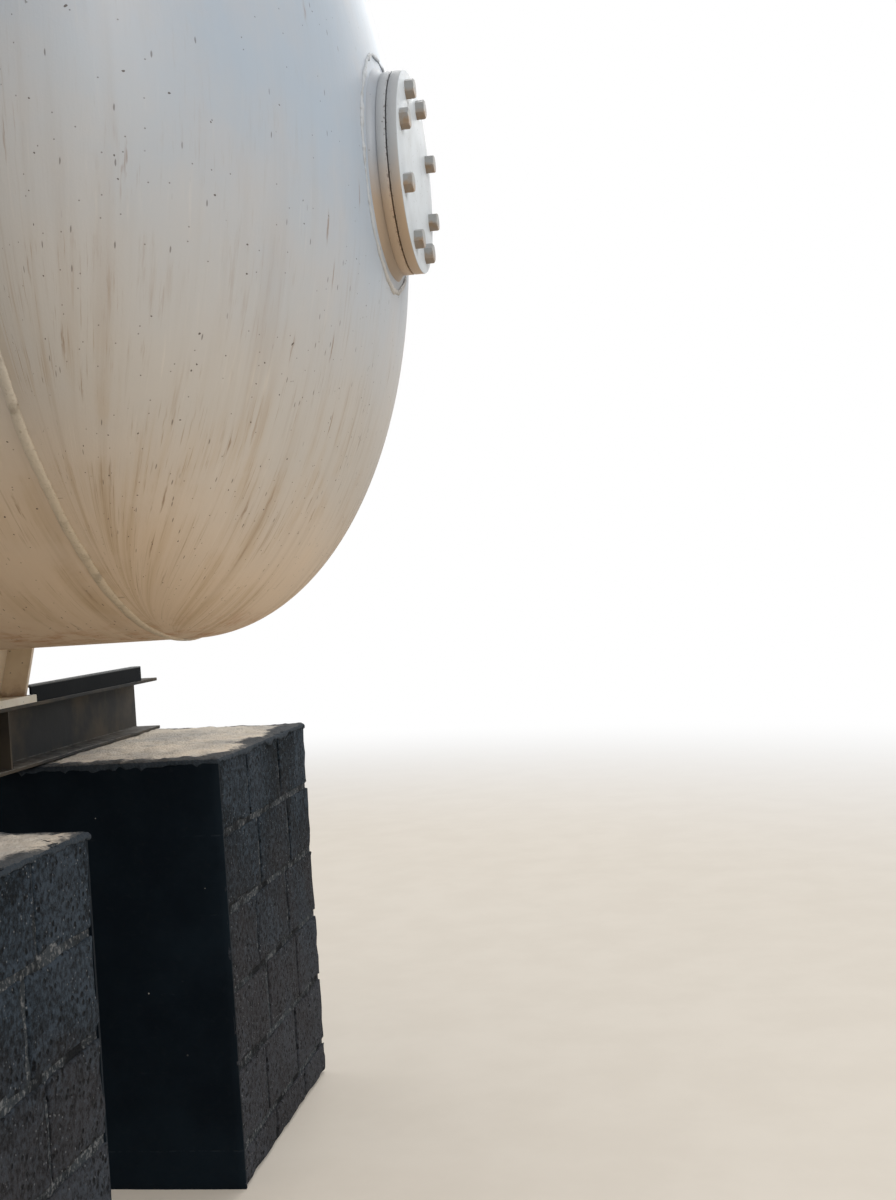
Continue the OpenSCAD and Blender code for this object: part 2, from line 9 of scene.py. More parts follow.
import bmesh
import bpy
import numpy as np
from mathutils import Matrix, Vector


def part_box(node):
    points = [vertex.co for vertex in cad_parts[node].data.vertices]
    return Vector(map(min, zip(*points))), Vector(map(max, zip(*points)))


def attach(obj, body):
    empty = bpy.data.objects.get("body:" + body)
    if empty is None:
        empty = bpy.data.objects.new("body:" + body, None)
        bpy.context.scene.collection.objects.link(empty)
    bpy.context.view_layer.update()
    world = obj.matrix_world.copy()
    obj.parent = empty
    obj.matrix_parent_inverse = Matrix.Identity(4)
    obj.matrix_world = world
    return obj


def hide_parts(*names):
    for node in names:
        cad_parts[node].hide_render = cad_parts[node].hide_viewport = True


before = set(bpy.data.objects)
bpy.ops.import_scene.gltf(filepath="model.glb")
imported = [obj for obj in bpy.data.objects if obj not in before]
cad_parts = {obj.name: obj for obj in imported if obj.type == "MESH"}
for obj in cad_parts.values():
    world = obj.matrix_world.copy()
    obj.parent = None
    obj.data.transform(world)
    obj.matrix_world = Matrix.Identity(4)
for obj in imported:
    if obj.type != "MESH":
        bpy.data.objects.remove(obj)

log = logging.getLogger("tank")
logging.basicConfig(level=logging.INFO, format="%(message)s")

Array = np.ndarray
Colour = Tuple[float, float, float]


def srgb(red: int, green: int, blue: int) -> Colour:
    """Linear colour of an 8-bit display colour.

    Args:
        red: Red from 0 to 255.
        green: Green from 0 to 255.
        blue: Blue from 0 to 255.

    Returns:
        The colour's three linear parts.
    """
    parts = []
    for value in (red, green, blue):
        part = value / 255.0
        parts.append(part / 12.92 if part <= 0.04045 else ((part + 0.055) / 1.055) ** 2.4)
    return parts[0], parts[1], parts[2]


# ---------------------------------------------------------------- fields of noise


def lattice(cell: Array, seed: int) -> Array:
    """Repeatable random number from 0 to 1 for each integer cell.

    Args:
        cell: Integer coordinates, last axis of length 3.
        seed: Which field of numbers.

    Returns:
        One number for each cell.
    """
    c = cell.astype(np.int64)
    h = c[..., 0] * 374761393 + c[..., 1] * 668265263 + c[..., 2] * 1274126177 + seed * 974634777
    h = (h ^ (h >> 13)) & 0xFFFFFFFF
    h = (h * 1103515245 + 12345) & 0xFFFFFFFF
    h = (h ^ (h >> 16)) & 0xFFFF
    return h / 65535.0


def value_noise(points: Array, scale: float, seed: int) -> Array:
    """Smooth noise: the eight corner numbers of each cell, blended by smoothstep on each axis.

    Args:
        points: Places in metres, last axis of length 3.
        scale: Cells per metre.
        seed: Which field.

    Returns:
        Noise from 0 to 1 at each place.
    """
    p = points * scale
    base = np.floor(p)
    t = p - base
    t = t * t * (3.0 - 2.0 * t)
    total = np.zeros(points.shape[:-1])
    for dx in (0, 1):
        for dy in (0, 1):
            for dz in (0, 1):
                corner = lattice(base + np.array([dx, dy, dz]), seed)
                wx = t[..., 0] if dx else 1.0 - t[..., 0]
                wy = t[..., 1] if dy else 1.0 - t[..., 1]
                wz = t[..., 2] if dz else 1.0 - t[..., 2]
                total += corner * wx * wy * wz
    return total


def rough_noise(points: Array, scale: float, seed: int, octaves: int = 3) -> Array:
    """Sum of value noise at doubling scales and halving heights, brought to about -1 to 1.

    Args:
        points: Places in metres.
        scale: Cells per metre of the coarsest layer.
        seed: Which field.
        octaves: How many layers.

    Returns:
        Noise about zero.
    """
    total = np.zeros(points.shape[:-1])
    weight = 0.0
    for layer in range(octaves):
        gain = 0.5 ** layer
        total += gain * (value_noise(points, scale * 2.0 ** layer, seed + 17 * layer) * 2.0 - 1.0)
        weight += gain
    return total / weight


# ---------------------------------------------------------------- surfaces


def full_turn(count: int) -> Array:
    """Even angles once round, from 0."""
    return np.linspace(0.0, 2.0 * math.pi, count, endpoint=False)


def spread(*parts: Union[float, Array]) -> Array:
    """Points whose coordinates are arrays, or numbers that all the points share."""
    return np.stack(np.broadcast_arrays(*parts), axis=-1).astype(float)


def unit(vectors: Array) -> Array:
    """Vectors brought to a length of 1."""
    return vectors / np.linalg.norm(vectors, axis=-1, keepdims=True)


def border(sheet: Array) -> Array:
    """The points along the four edges of a grid, once round."""
    return np.concatenate([sheet[:, 0], sheet[-1, 1:], sheet[-2::-1, -1], sheet[0, -2:0:-1]])


def link(name: str, data: bpy.types.ID) -> bpy.types.Object:
    """Makes an object of some data and puts it in the scene.

    Args:
        name: The object's name.
        data: Its mesh, light or camera.

    Returns:
        The object.
    """
    thing = bpy.data.objects.new(name, data)
    bpy.context.scene.collection.objects.link(thing)
    return thing


@contextmanager
def editing(source: bpy.types.Mesh,
            target: Optional[bpy.types.Mesh] = None) -> Iterator[bmesh.types.BMesh]:
    """Opens a mesh for changes, and writes them to it or to another mesh.

    Args:
        source: The mesh to start from.
        target: The mesh to write to, where it is another.

    Yields:
        The open mesh.
    """
    work = bmesh.new()
    work.from_mesh(source)
    yield work
    work.to_mesh(target or source)
    work.free()


@dataclass
class Surface:
    """Vertices with quads and triangles, before they become a mesh."""

    verts: Array
    quads: Array
    tris: Array

    @staticmethod
    def grid(points: Array, wrap_u: bool = False, wrap_v: bool = False,
             flip: bool = False) -> "Surface":
        """Quads between the neighbours of a grid of points.

        Args:
            points: Array of rows, columns and 3.
            wrap_u: Joins the last row to the first.
            wrap_v: Joins the last column to the first.
            flip: Turns the faces over.

        Returns:
            The surface.
        """
        rows, cols = points.shape[:2]
        index = np.arange(rows * cols).reshape(rows, cols)
        if wrap_u:
            index = np.concatenate([index, index[:1]], axis=0)
        if wrap_v:
            index = np.concatenate([index, index[:, :1]], axis=1)
        corners = [index[:-1, :-1], index[1:, :-1], index[1:, 1:], index[:-1, 1:]]
        if flip:
            corners.reverse()
        quads = np.stack([c.reshape(-1) for c in corners], axis=1)
        return Surface(points.reshape(-1, 3), quads, np.zeros((0, 3), int))

    @staticmethod
    def fan(ring: Array, centre: Array, flip: bool = False) -> "Surface":
        """Triangles from a closed ring of points to its centre.

        Args:
            ring: Points in order.
            centre: The point they meet at.
            flip: Turns the faces over.

        Returns:
            The surface.
        """
        count = len(ring)
        a = np.arange(count)
        b = (a + 1) % count
        tris = np.stack([a, b, np.full(count, count)], axis=1)
        if flip:
            tris = tris[:, ::-1]
        return Surface(np.vstack([ring, centre[None, :]]), np.zeros((0, 4), int), tris)

    @staticmethod
    def join(parts: Iterable["Surface"]) -> "Surface":
        """All the surfaces as one, with their indices moved on.

        Args:
            parts: The surfaces.

        Returns:
            One surface.
        """
        parts = list(parts)
        offset = 0
        verts, quads, tris = [], [], []
        for part in parts:
            verts.append(part.verts)
            quads.append(part.quads + offset)
            tris.append(part.tris + offset)
            offset += len(part.verts)
        return Surface(np.vstack(verts), np.vstack(quads), np.vstack(tris))

    def to_object(self, name: str, finish: bpy.types.Material, smooth: bool = True,
                  merge: float = 1e-5) -> bpy.types.Object:
        """Makes the mesh object, with doubles merged and its faces turned outwards.

        Args:
            name: The object's name.
            finish: Its material.
            smooth: Whether faces are shaded smooth.
            merge: Distance in metres under which vertices are one.

        Returns:
            The object, at the origin.
        """
        mesh = bpy.data.meshes.new(name)
        mesh.vertices.add(len(self.verts))
        mesh.vertices.foreach_set("co", self.verts.astype(np.float32).ravel())
        loops = np.concatenate([self.quads.ravel(), self.tris.ravel()]).astype(np.int32)
        fours, threes = np.arange(len(self.quads)) * 4, np.arange(len(self.tris)) * 3
        starts = np.concatenate([fours, len(self.quads) * 4 + threes]).astype(np.int32)
        mesh.loops.add(len(loops))
        mesh.loops.foreach_set("vertex_index", loops)
        mesh.polygons.add(len(starts))
        mesh.polygons.foreach_set("loop_start", starts)
        mesh.update(calc_edges=True)
        with editing(mesh) as work:
            bmesh.ops.remove_doubles(work, verts=work.verts, dist=merge)
            bmesh.ops.recalc_face_normals(work, faces=work.faces)
        mesh.polygons.foreach_set("use_smooth", np.full(len(mesh.polygons), smooth))
        mesh.update()
        mesh.materials.append(finish)
        return link(name, mesh)


def sharpen(piece: bpy.types.Object, degrees: float = 35.0) -> bpy.types.Object:
    """Marks the edges sharper than an angle, so that smooth shading stops at them.

    Args:
        piece: The piece.
        degrees: The angle between the two faces of an edge.

    Returns:
        The piece.
    """
    limit = math.radians(degrees)
    with editing(piece.data) as work:
        for edge in work.edges:
            if len(edge.link_faces) == 2:
                edge.smooth = edge.calc_face_angle(0.0) < limit
    return piece


def revolve(profile: Array, centre: Tuple[float, float, float], segments: int, closed: bool = False,
            shift: Optional[Callable[[Array, Array], Array]] = None) -> Surface:
    """Carries a profile of (along, radius) round X.

    A point is centre + (along, radius * cos, radius * sin).

    Args:
        profile: Rows of distance along the axis and radius, in metres.
        centre: Point on the axis from which distances count.
        segments: Steps round the axis.
        closed: Whether the profile's last point joins its first.
        shift: Takes angle and row arrays and gives metres added to the radius.

    Returns:
        The surface, with ends at radius 0 closed to a point.
    """
    turn = full_turn(segments)[None, :]
    radius = profile[:, 1:2]
    if shift is not None:
        radius = radius + shift(turn, np.arange(len(profile))[:, None])
    points = spread(profile[:, :1], radius * np.cos(turn), radius * np.sin(turn)) + np.array(centre)
    parts = []
    first, last = 0, len(profile)
    if not closed and profile[0, 1] < 1e-6:
        parts.append(Surface.fan(points[1], points[0, 0]))
        first = 1
    if not closed and profile[-1, 1] < 1e-6:
        parts.append(Surface.fan(points[-2], points[-1, 0], flip=True))
        last -= 1
    parts.append(Surface.grid(points[first:last], wrap_u=closed, wrap_v=True))
    return Surface.join(parts)


def tube(path: Array, radii: Array, across: Array, section: Array, closed: bool = False) -> Surface:
    """Carries a flat section along a path.

    A point is path + radius * (section's first value * outward + its second value * sideways),
    where outward is given and sideways is across both outward and the path.

    Args:
        path: Points in order.
        radii: Size of the section at each point.
        across: Outward direction at each point.
        section: Pairs of outward and sideways, as a closed outline.
        closed: Whether the path joins its own start.

    Returns:
        The surface, with open ends closed by a fan.
    """
    if closed:
        ahead = np.roll(path, -1, axis=0) - np.roll(path, 1, axis=0)
    else:
        ahead = np.gradient(path, axis=0)
    side = unit(np.cross(unit(ahead), across))
    size = radii[:, None, None]
    points = (path[:, None, :] + size * section[None, :, :1] * across[:, None, :]
              + size * section[None, :, 1:2] * side[:, None, :])
    parts = [Surface.grid(points, wrap_u=closed, wrap_v=True)]
    if not closed:
        parts.append(Surface.fan(points[0], points[0].mean(axis=0)))
        parts.append(Surface.fan(points[-1], points[-1].mean(axis=0), flip=True))
    return Surface.join(parts)


def bead_section(width: float, height: float, steps: int = 9) -> Array:
    """Outline of a weld bead: a low arch with a flat sunken foot.

    Args:
        width: Width in metres.
        height: Height in metres.
        steps: Points along the arch.

    Returns:
        Pairs of outward and sideways.
    """
    t = np.linspace(0.0, math.pi, steps)
    arch = np.stack([height * np.sin(t), -0.5 * width * np.cos(t)], axis=1)
    foot = np.array([[-0.4 * height, 0.4 * width], [-0.4 * height, -0.4 * width]])
    return np.vstack([arch, foot])


def weld_bead(path: Array, across: Array, width: float, height: float, seed: int, lump: float,
              closed: bool = False) -> Surface:
    """A weld bead along a path: the bead's section, scaled at each point by slow and quick noise.

    Args:
        path: Points along the plate.
        across: Outward direction at each point.
        width: Width of the bead in metres.
        height: Height of the bead in metres.
        seed: Which noise.
        lump: How uneven the bead is.
        closed: Whether the path is a ring.

    Returns:
        The surface.
    """
    slow, quick = rough_noise(path, 26.0, seed, 2), rough_noise(path, 90.0, seed + 5, 1)
    swell = 1.0 + lump * slow + 0.5 * lump * quick
    return tube(path, np.maximum(swell, 0.3), across, bead_section(width, height), closed)


def box_surface(lines: Sequence[Array]) -> Tuple[Array, Array]:
    """Grid over the six faces of the cube from -1 to 1.

    Args:
        lines: The grid lines' places on each of the three axes.

    Returns:
        The points and the quads.
    """
    parts = []
    for axis in range(3):
        u, v = [k for k in range(3) if k != axis]
        for side in (-1.0, 1.0):
            a, b = np.meshgrid(lines[u], lines[v], indexing="ij")
            points = np.empty(a.shape + (3,))
            points[..., axis] = side
            points[..., u] = a
            points[..., v] = b
            parts.append(Surface.grid(points, flip=(side > 0) == (axis == 1)))
    whole = Surface.join(parts)
    return whole.verts, whole.quads


def soft_boxes(centres: Array, halves: Array, lines: Sequence[Array], round_r: float, wear: float,
               chip: float, seed: int) -> Surface:
    """Many rounded, worn boxes at once.

    Each cube point is clamped to the box less its rounding, and stands off that by the rounding in
    the direction of the rest. Slow noise moves the faces, and quick noise eats the edges inwards.

    Args:
        centres: Middle of each box.
        halves: Half sizes of each box.
        lines: Grid lines on the three axes, from -1 to 1.
        round_r: Radius of the edges in metres.
        wear: Height of the noise on the faces in metres.
        chip: Depth of the chips along the edges in metres.
        seed: Which noise.

    Returns:
        One surface for all of them.
    """
    cube, quads = box_surface(lines)
    reach = cube[None, :, :] * halves[:, None, :]
    core = np.clip(reach, -(halves[:, None, :] - round_r), halves[:, None, :] - round_r)
    out = unit(reach - core)
    place = centres[:, None, :] + core + round_r * out
    rim = 0.03
    depth = (np.abs(reach) - (halves[:, None, :] - rim)) / rim
    near = np.sort(np.clip(depth, 0.0, 1.0), axis=2)[..., 1]
    grain = wear * rough_noise(place, 14.0, seed, 4)
    bite = np.clip(value_noise(place, 26.0, seed + 40) - 0.55, 0.0, 1.0) * near
    bite += 0.6 * np.clip(value_noise(place, 70.0, seed + 41) - 0.5, 0.0, 1.0) * near
    place = place + out * (grain - 0.5 * wear - chip * bite)[..., None]
    count = len(cube)
    offsets = (np.arange(len(centres)) * count)[:, None, None]
    all_quads = (quads[None, :, :] + offsets).reshape(-1, 4)
    return Surface(place.reshape(-1, 3), all_quads, np.zeros((0, 3), int))


def softened_copy(node: str, finish: bpy.types.Material, width: float) -> bpy.types.Object:
    """A merged copy of a solid of the frame, with its edges rounded by a Bevel modifier.

    Args:
        node: The solid's name.
        finish: Its material.
        width: Width of the rounding in metres.

    Returns:
        The piece, which stands for that solid.
    """
    mesh = bpy.data.meshes.new(node + "_skin")
    with editing(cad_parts[node].data, mesh) as work:
        bmesh.ops.remove_doubles(work, verts=work.verts, dist=2e-5)
        bmesh.ops.dissolve_limit(work, angle_limit=math.radians(0.6), verts=work.verts,
                                 edges=work.edges)
    mesh.polygons.foreach_set("use_smooth", np.full(len(mesh.polygons), True))
    mesh.materials.clear()
    mesh.materials.append(finish)
    piece = sharpen(link(node + "_skin", mesh), 30.0)
    bevel = piece.modifiers.new("rounding", "BEVEL")
    bevel.width = width
    bevel.segments = 2
    bevel.limit_method = "ANGLE"
    bevel.angle_limit = math.radians(32.0)
    bevel.harden_normals = True
    bevel.use_clamp_overlap = True
    return settle(piece, [node])


def settle(piece: bpy.types.Object, nodes: Sequence[str] = ()) -> bpy.types.Object:
    """Rides a piece on the fixed body and hides the solids it stands for.

    Args:
        piece: The piece.
        nodes: The solids it replaces.

    Returns:
        The piece.
    """
    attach(piece, "root")
    if nodes:
        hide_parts(*nodes)
    return piece


# ---------------------------------------------------------------- shader expressions


Number = Union[float, int, "Value"]
Inputs = Union[Sequence[Any], Dict[Any, Any]]


def operation(kind: str, swapped: bool = False) -> Callable[..., "Value"]:
    """A method of Value that adds one Math node on the value and any others.

    Args:
        kind: The Math node's operation.
        swapped: Whether the other term comes first.

    Returns:
        The method.
    """

    def method(self: "Value", *others: Number) -> "Value":
        """Adds the node."""
        terms = [*others, self] if swapped else [self, *others]
        return self.tree.value("ShaderNodeMath", {"operation": kind}, terms)

    return method


class Value:
    """A shader socket that takes part in Python arithmetic; each operation adds a Math node."""

    __add__ = __radd__ = operation("ADD")
    __sub__ = operation("SUBTRACT")
    __rsub__ = operation("SUBTRACT", swapped=True)
    __mul__ = __rmul__ = operation("MULTIPLY")
    __truediv__ = operation("DIVIDE")
    __pow__ = operation("POWER")
    abs = operation("ABSOLUTE")
    at_least = operation("MAXIMUM")
    at_most = operation("MINIMUM")
    cosine = operation("COSINE")
    angle_to = operation("ARCTAN2")
    fraction = operation("FRACT")

    def __init__(self, tree: "Tree", socket: bpy.types.NodeSocket) -> None:
        """Wraps one output socket of a tree."""
        self.tree = tree
        self.socket = socket

    def clamp(self) -> "Value":
        """Held between 0 and 1."""
        return self.tree.value("ShaderNodeMath", {"operation": "ADD", "use_clamp": True},
                               [self, 0.0])

    def step(self, low: float, high: float) -> "Value":
        """Smooth rise from 0 at low to 1 at high; low may be the larger."""
        ends = [0.0, 1.0] if low < high else [1.0, 0.0]
        return self.tree.value("ShaderNodeMapRange", {"interpolation_type": "SMOOTHSTEP"},
                               [self, min(low, high), max(low, high), *ends])


class Tree:
    """A node tree that is filled from empty, with one method for every kind of node."""

    def __init__(self, tree: bpy.types.NodeTree) -> None:
        """Empties the tree."""
        self.tree = tree
        self.tree.nodes.clear()

    def fill(self, node: bpy.types.Node, inputs: Inputs) -> None:
        """Links or sets the sockets of a node.

        Args:
            node: The node.
            inputs: Values or links, in order or by the socket's name or number; None leaves one
                alone.
        """
        for key, value in inputs.items() if isinstance(inputs, dict) else enumerate(inputs):
            socket = node.inputs[key]
            if isinstance(value, Value):
                self.tree.links.new(value.socket, socket)
            elif isinstance(value, tuple) and socket.type == "RGBA":
                socket.default_value = value + (1.0,)
            elif value is not None:
                socket.default_value = value

    def node(self, kind: str, settings: Optional[Dict[str, Any]] = None,
             inputs: Inputs = ()) -> bpy.types.Node:
        """Adds a node, and sets its properties first and then its sockets.

        Args:
            kind: The node's type.
            settings: Its properties.
            inputs: Its sockets, as fill takes them.

        Returns:
            The node.
        """
        made = self.tree.nodes.new(kind)
        for key, value in (settings or {}).items():
            setattr(made, key, value)
        self.fill(made, inputs)
        return made

    def value(self, kind: str, settings: Optional[Dict[str, Any]] = None, inputs: Inputs = (),
              output: Union[int, str] = 0) -> Value:
        """Adds a node and gives one of its outputs."""
        return Value(self, self.node(kind, settings, inputs).outputs[output])


class Graph(Tree):
    """The node tree of one material, whose colour is built up in layers."""

    def __init__(self, name: str) -> None:
        """Starts an empty material that ends in one Principled shader.

        Args:
            name: The material's name.
        """
        self.material = bpy.data.materials.new(name)
        self.material.use_nodes = True
        super().__init__(self.material.node_tree)
        self.shader = self.node("ShaderNodeBsdfPrincipled")
        self.end = self.node("ShaderNodeOutputMaterial", {}, [Value(self, self.shader.outputs[0])])
        self.place = self.value("ShaderNodeTexCoord", output="Object")
        split = self.node("ShaderNodeSeparateXYZ", {}, [self.place])
        self.x, self.y, self.z = (Value(self, split.outputs[k]) for k in range(3))
        self.colour: Union[Colour, Value] = (0.0, 0.0, 0.0)

    def vector(self, x: Number, y: Number, z: Number) -> Value:
        """A vector from three values."""
        return self.value("ShaderNodeCombineXYZ", {}, [x, y, z])

    def noise(self, scale: float, detail: float = 3.0, rough: float = 0.55, warp: float = 0.0,
              at: Optional[Value] = None) -> Value:
        """Noise from 0 to 1 at the surface's own place, or at another.

        Args:
            scale: Features per metre.
            detail: Finer layers.
            rough: How strong the finer layers are.
            warp: Distortion.
            at: The place, where it isn't the surface's own.

        Returns:
            Noise from 0 to 1.
        """
        return self.value("ShaderNodeTexNoise", {"noise_dimensions": "3D"},
                          {"Vector": self.place if at is None else at, "Scale": scale,
                           "Detail": detail, "Roughness": rough, "Distortion": warp})

    def drawn(self, x: Number, y: Number, z: Number, detail: float, rough: float) -> Value:
        """Noise at three coordinates of its own, drawn out along the one that changes least."""
        return self.noise(1.0, detail, rough, at=self.vector(x, y, z))

    def cells(self, scale: float, at: Optional[Value] = None,
              flat: bool = False) -> Tuple[Value, Value]:
        """Distance to the nearest of scattered points, and that point's random number from 0 to 1.

        Args:
            scale: Points per metre.
            at: The place, where it isn't the surface's own.
            flat: Whether the third coordinate is left out.

        Returns:
            The distance and the random number.
        """
        made = self.node("ShaderNodeTexVoronoi", {"voronoi_dimensions": "2D" if flat else "3D"},
                         {"Vector": self.place if at is None else at, "Scale": scale})
        chance = self.value("ShaderNodeSeparateColor", {}, [Value(self, made.outputs["Color"])])
        return Value(self, made.outputs["Distance"]), chance

    def flat_cells(self, u: Number, v: Number) -> Tuple[Value, Value]:
        """Cells of a pattern with two coordinates of its own."""
        return self.cells(1.0, self.vector(u, v, 0.0), flat=True)

    def mix(self, amount: Number, first: Union[Colour, Value],
            second: Union[Colour, Value]) -> Value:
        """Blend of two colours."""
        return self.value("ShaderNodeMix", {"data_type": "RGBA", "clamp_factor": True},
                          {0: amount, 6: first, 7: second}, 2)

    def ground(self, amount: Number, first: Colour, second: Colour) -> None:
        """Starts the colour as a blend of two."""
        self.colour = self.mix(amount, first, second)

    def coat(self, amount: Number, top: Colour) -> None:
        """Lays a colour over what is there, by an amount from 0 to 1."""
        self.colour = self.mix(amount, self.colour, top)

    def finish(self, rough: Number, height: Optional[Value] = None, depth: float = 0.001,
               metal: float = 0.0, specular: float = 0.5) -> bpy.types.Material:
        """Fills the shader and gives the material.

        Args:
            rough: Roughness.
            height: Bump height from 0 to 1.
            depth: Metres of bump for a height of 1.
            metal: Metallic value.
            specular: Specular level.

        Returns:
            The material.
        """
        bump = None
        if height is not None:
            bump = self.value("ShaderNodeBump", {},
                              {"Strength": 1.0, "Distance": depth, "Height": height})
        self.fill(self.shader, {"Base Color": self.colour, "Roughness": rough, "Metallic": metal,
                                "Specular IOR Level": specular, "Normal": bump})
        return self.material


# ---------------------------------------------------------------- finishes


class Flow(Enum):
    """Which way rain runs down a painted surface of the vessel."""

    SHELL = "shell"
    FRONT_DISH = "front_dish"
    REAR_DISH = "rear_dish"


@dataclass(frozen=True)
class TankPaint:
    """Off-white gloss paint, grey above and warm to tan underneath, with run-down dirt; the warm
    and tan are partly dust and partly painted warm light bounced up from the ground.
    """

    name: str
    flow: Flow
    axis_z: float
    radius: float
    dish_x: float
    dish_depth: float
    clean: Colour = srgb(164, 169, 176)
    cool: Colour = srgb(157, 168, 180)
    warm_dust_and_bounce: Colour = srgb(181, 172, 160)
    tan: Colour = srgb(211, 185, 155)
    streak: Colour = srgb(130, 104, 74)
    speck: Colour = srgb(66, 54, 46)
    rust: Colour = srgb(160, 98, 46)
    ochre: Colour = srgb(164, 132, 84)
    drop: Colour = srgb(116, 86, 54)
    chalk: Colour = srgb(214, 204, 188)

    def build(self) -> bpy.types.Material:
        """Makes the material.

        The streak coordinate is constant along the line that a drop of water follows: x on the
        shell, and the angle of y over the fourth root of x on a dish twice as wide as deep.

        Returns:
            The material.
        """
        g = Graph(self.name)
        height = (g.z - self.axis_z) / self.radius
        side = g.y / self.radius
        out: Number = 0.0
        run = g.x
        if self.flow is not Flow.SHELL:
            sign = 1.0 if self.flow is Flow.FRONT_DISH else -1.0
            out = ((g.x * sign - self.dish_x * sign) / self.dish_depth).at_least(0.0004)
            run = side.angle_to(out ** 0.27) * self.radius
        half = side.step(-0.01, 0.01)
        blotch = g.noise(1.3, 4.0, 0.6)
        cloud = g.noise(4.5, 5.0, 0.6)
        level = height + out * 0.34 + (blotch - 0.5) * 0.45
        g.ground(cloud.step(0.3, 0.68), self.clean, self.cool)
        # Warm, then tan, towards the bottom: partly dust and partly painted warm light bounced up
        # from the ground.
        g.coat(level.step(0.38, -0.42) * 0.88, self.warm_dust_and_bounce)
        g.coat(level.step(-0.35, -0.98) * 0.9, self.tan)
        fine = g.drawn(run * 150.0, height * 11.0, half * 7.0, 3.0, 0.6)
        middle = g.drawn(run * 62.0, height * 4.6, half * 5.0, 4.0, 0.6)
        wide = g.drawn(run * 17.0, height * 1.5, half * 3.0, 3.0, 0.55)
        dirty = (level + 0.1).step(0.6, -0.6) * 0.85 + 0.15
        patch = g.noise(3.4, 4.0, 0.6, 0.6).step(0.42, 0.60)
        g.coat(wide.step(0.48, 0.78) * dirty * 0.26, self.streak)
        g.coat(middle.step(0.54, 0.74) * dirty * (patch * 0.75 + 0.25) * 0.42, self.streak)
        g.coat(fine.step(0.56, 0.72) * dirty * patch * 0.46, self.streak)
        pale = g.drawn(run * 90.0 + 31.0, height * 7.0, half * 9.0, 2.0, 0.5)
        g.coat(pale.step(0.58, 0.78) * dirty * (1.0 - patch * 0.7) * 0.22, self.chalk)
        bend = (g.noise(30.0, 2.0) - 0.5) * 0.25
        along = half * 40.0 + height.angle_to((1.0 - height * height).at_least(0.0004) ** 0.5)
        foul = level.step(0.45, -0.55)
        dots, size = g.flat_cells(run * 12.0 + bend, along * 15.0 + bend)
        dot = (dots - size * 0.020).step(0.014, 0.004) * (size + foul * 0.34).step(0.87, 0.90)
        tiny, shade = g.flat_cells(run * 25.0, along * 30.0)
        grit = tiny.step(0.052, 0.028) * (shade + foul * 0.16).step(0.86, 0.90)
        tails, hue = g.flat_cells(run * 60.0 + bend, along * 17.0)
        tail = tails.step(0.13, 0.06) * (hue + foul * 0.06).step(0.965, 0.985)
        drips, tone = g.flat_cells(run * 24.0 + bend * 1.6, along * 3.4)
        drip = drips.step(0.16, 0.02) * (tone + foul * 0.2).step(0.88, 0.95)
        g.coat(drip * fine.step(0.40, 0.60) * 0.65, self.drop)
        film = level.step(-0.1, -0.75) * patch * wide.step(0.40, 0.62)
        g.coat(film * 0.24, self.ochre)
        spots = (dot * 0.85 + grit * 0.6 + tail * 0.6).clamp()
        g.coat(spots, self.speck)
        stain = height.step(-0.93, -0.99) * g.noise(16.0, 5.0, 0.7).step(0.45, 0.7)
        g.coat(stain * 0.6, self.rust)
        peel = g.noise(160.0, 2.0, 0.5)
        sag = g.drawn(run * 9.0, height * 2.0, half, 2.0, 0.5)
        bump = peel * 0.2 + cloud * 0.4 + sag * 0.25 + fine * 0.15 + dot * 0.25
        rough = 0.38 + level.step(0.0, -0.9) * 0.2 + middle * 0.1 + (blotch - 0.5) * 0.15
        return g.finish(rough, bump, 0.0012, specular=0.22)


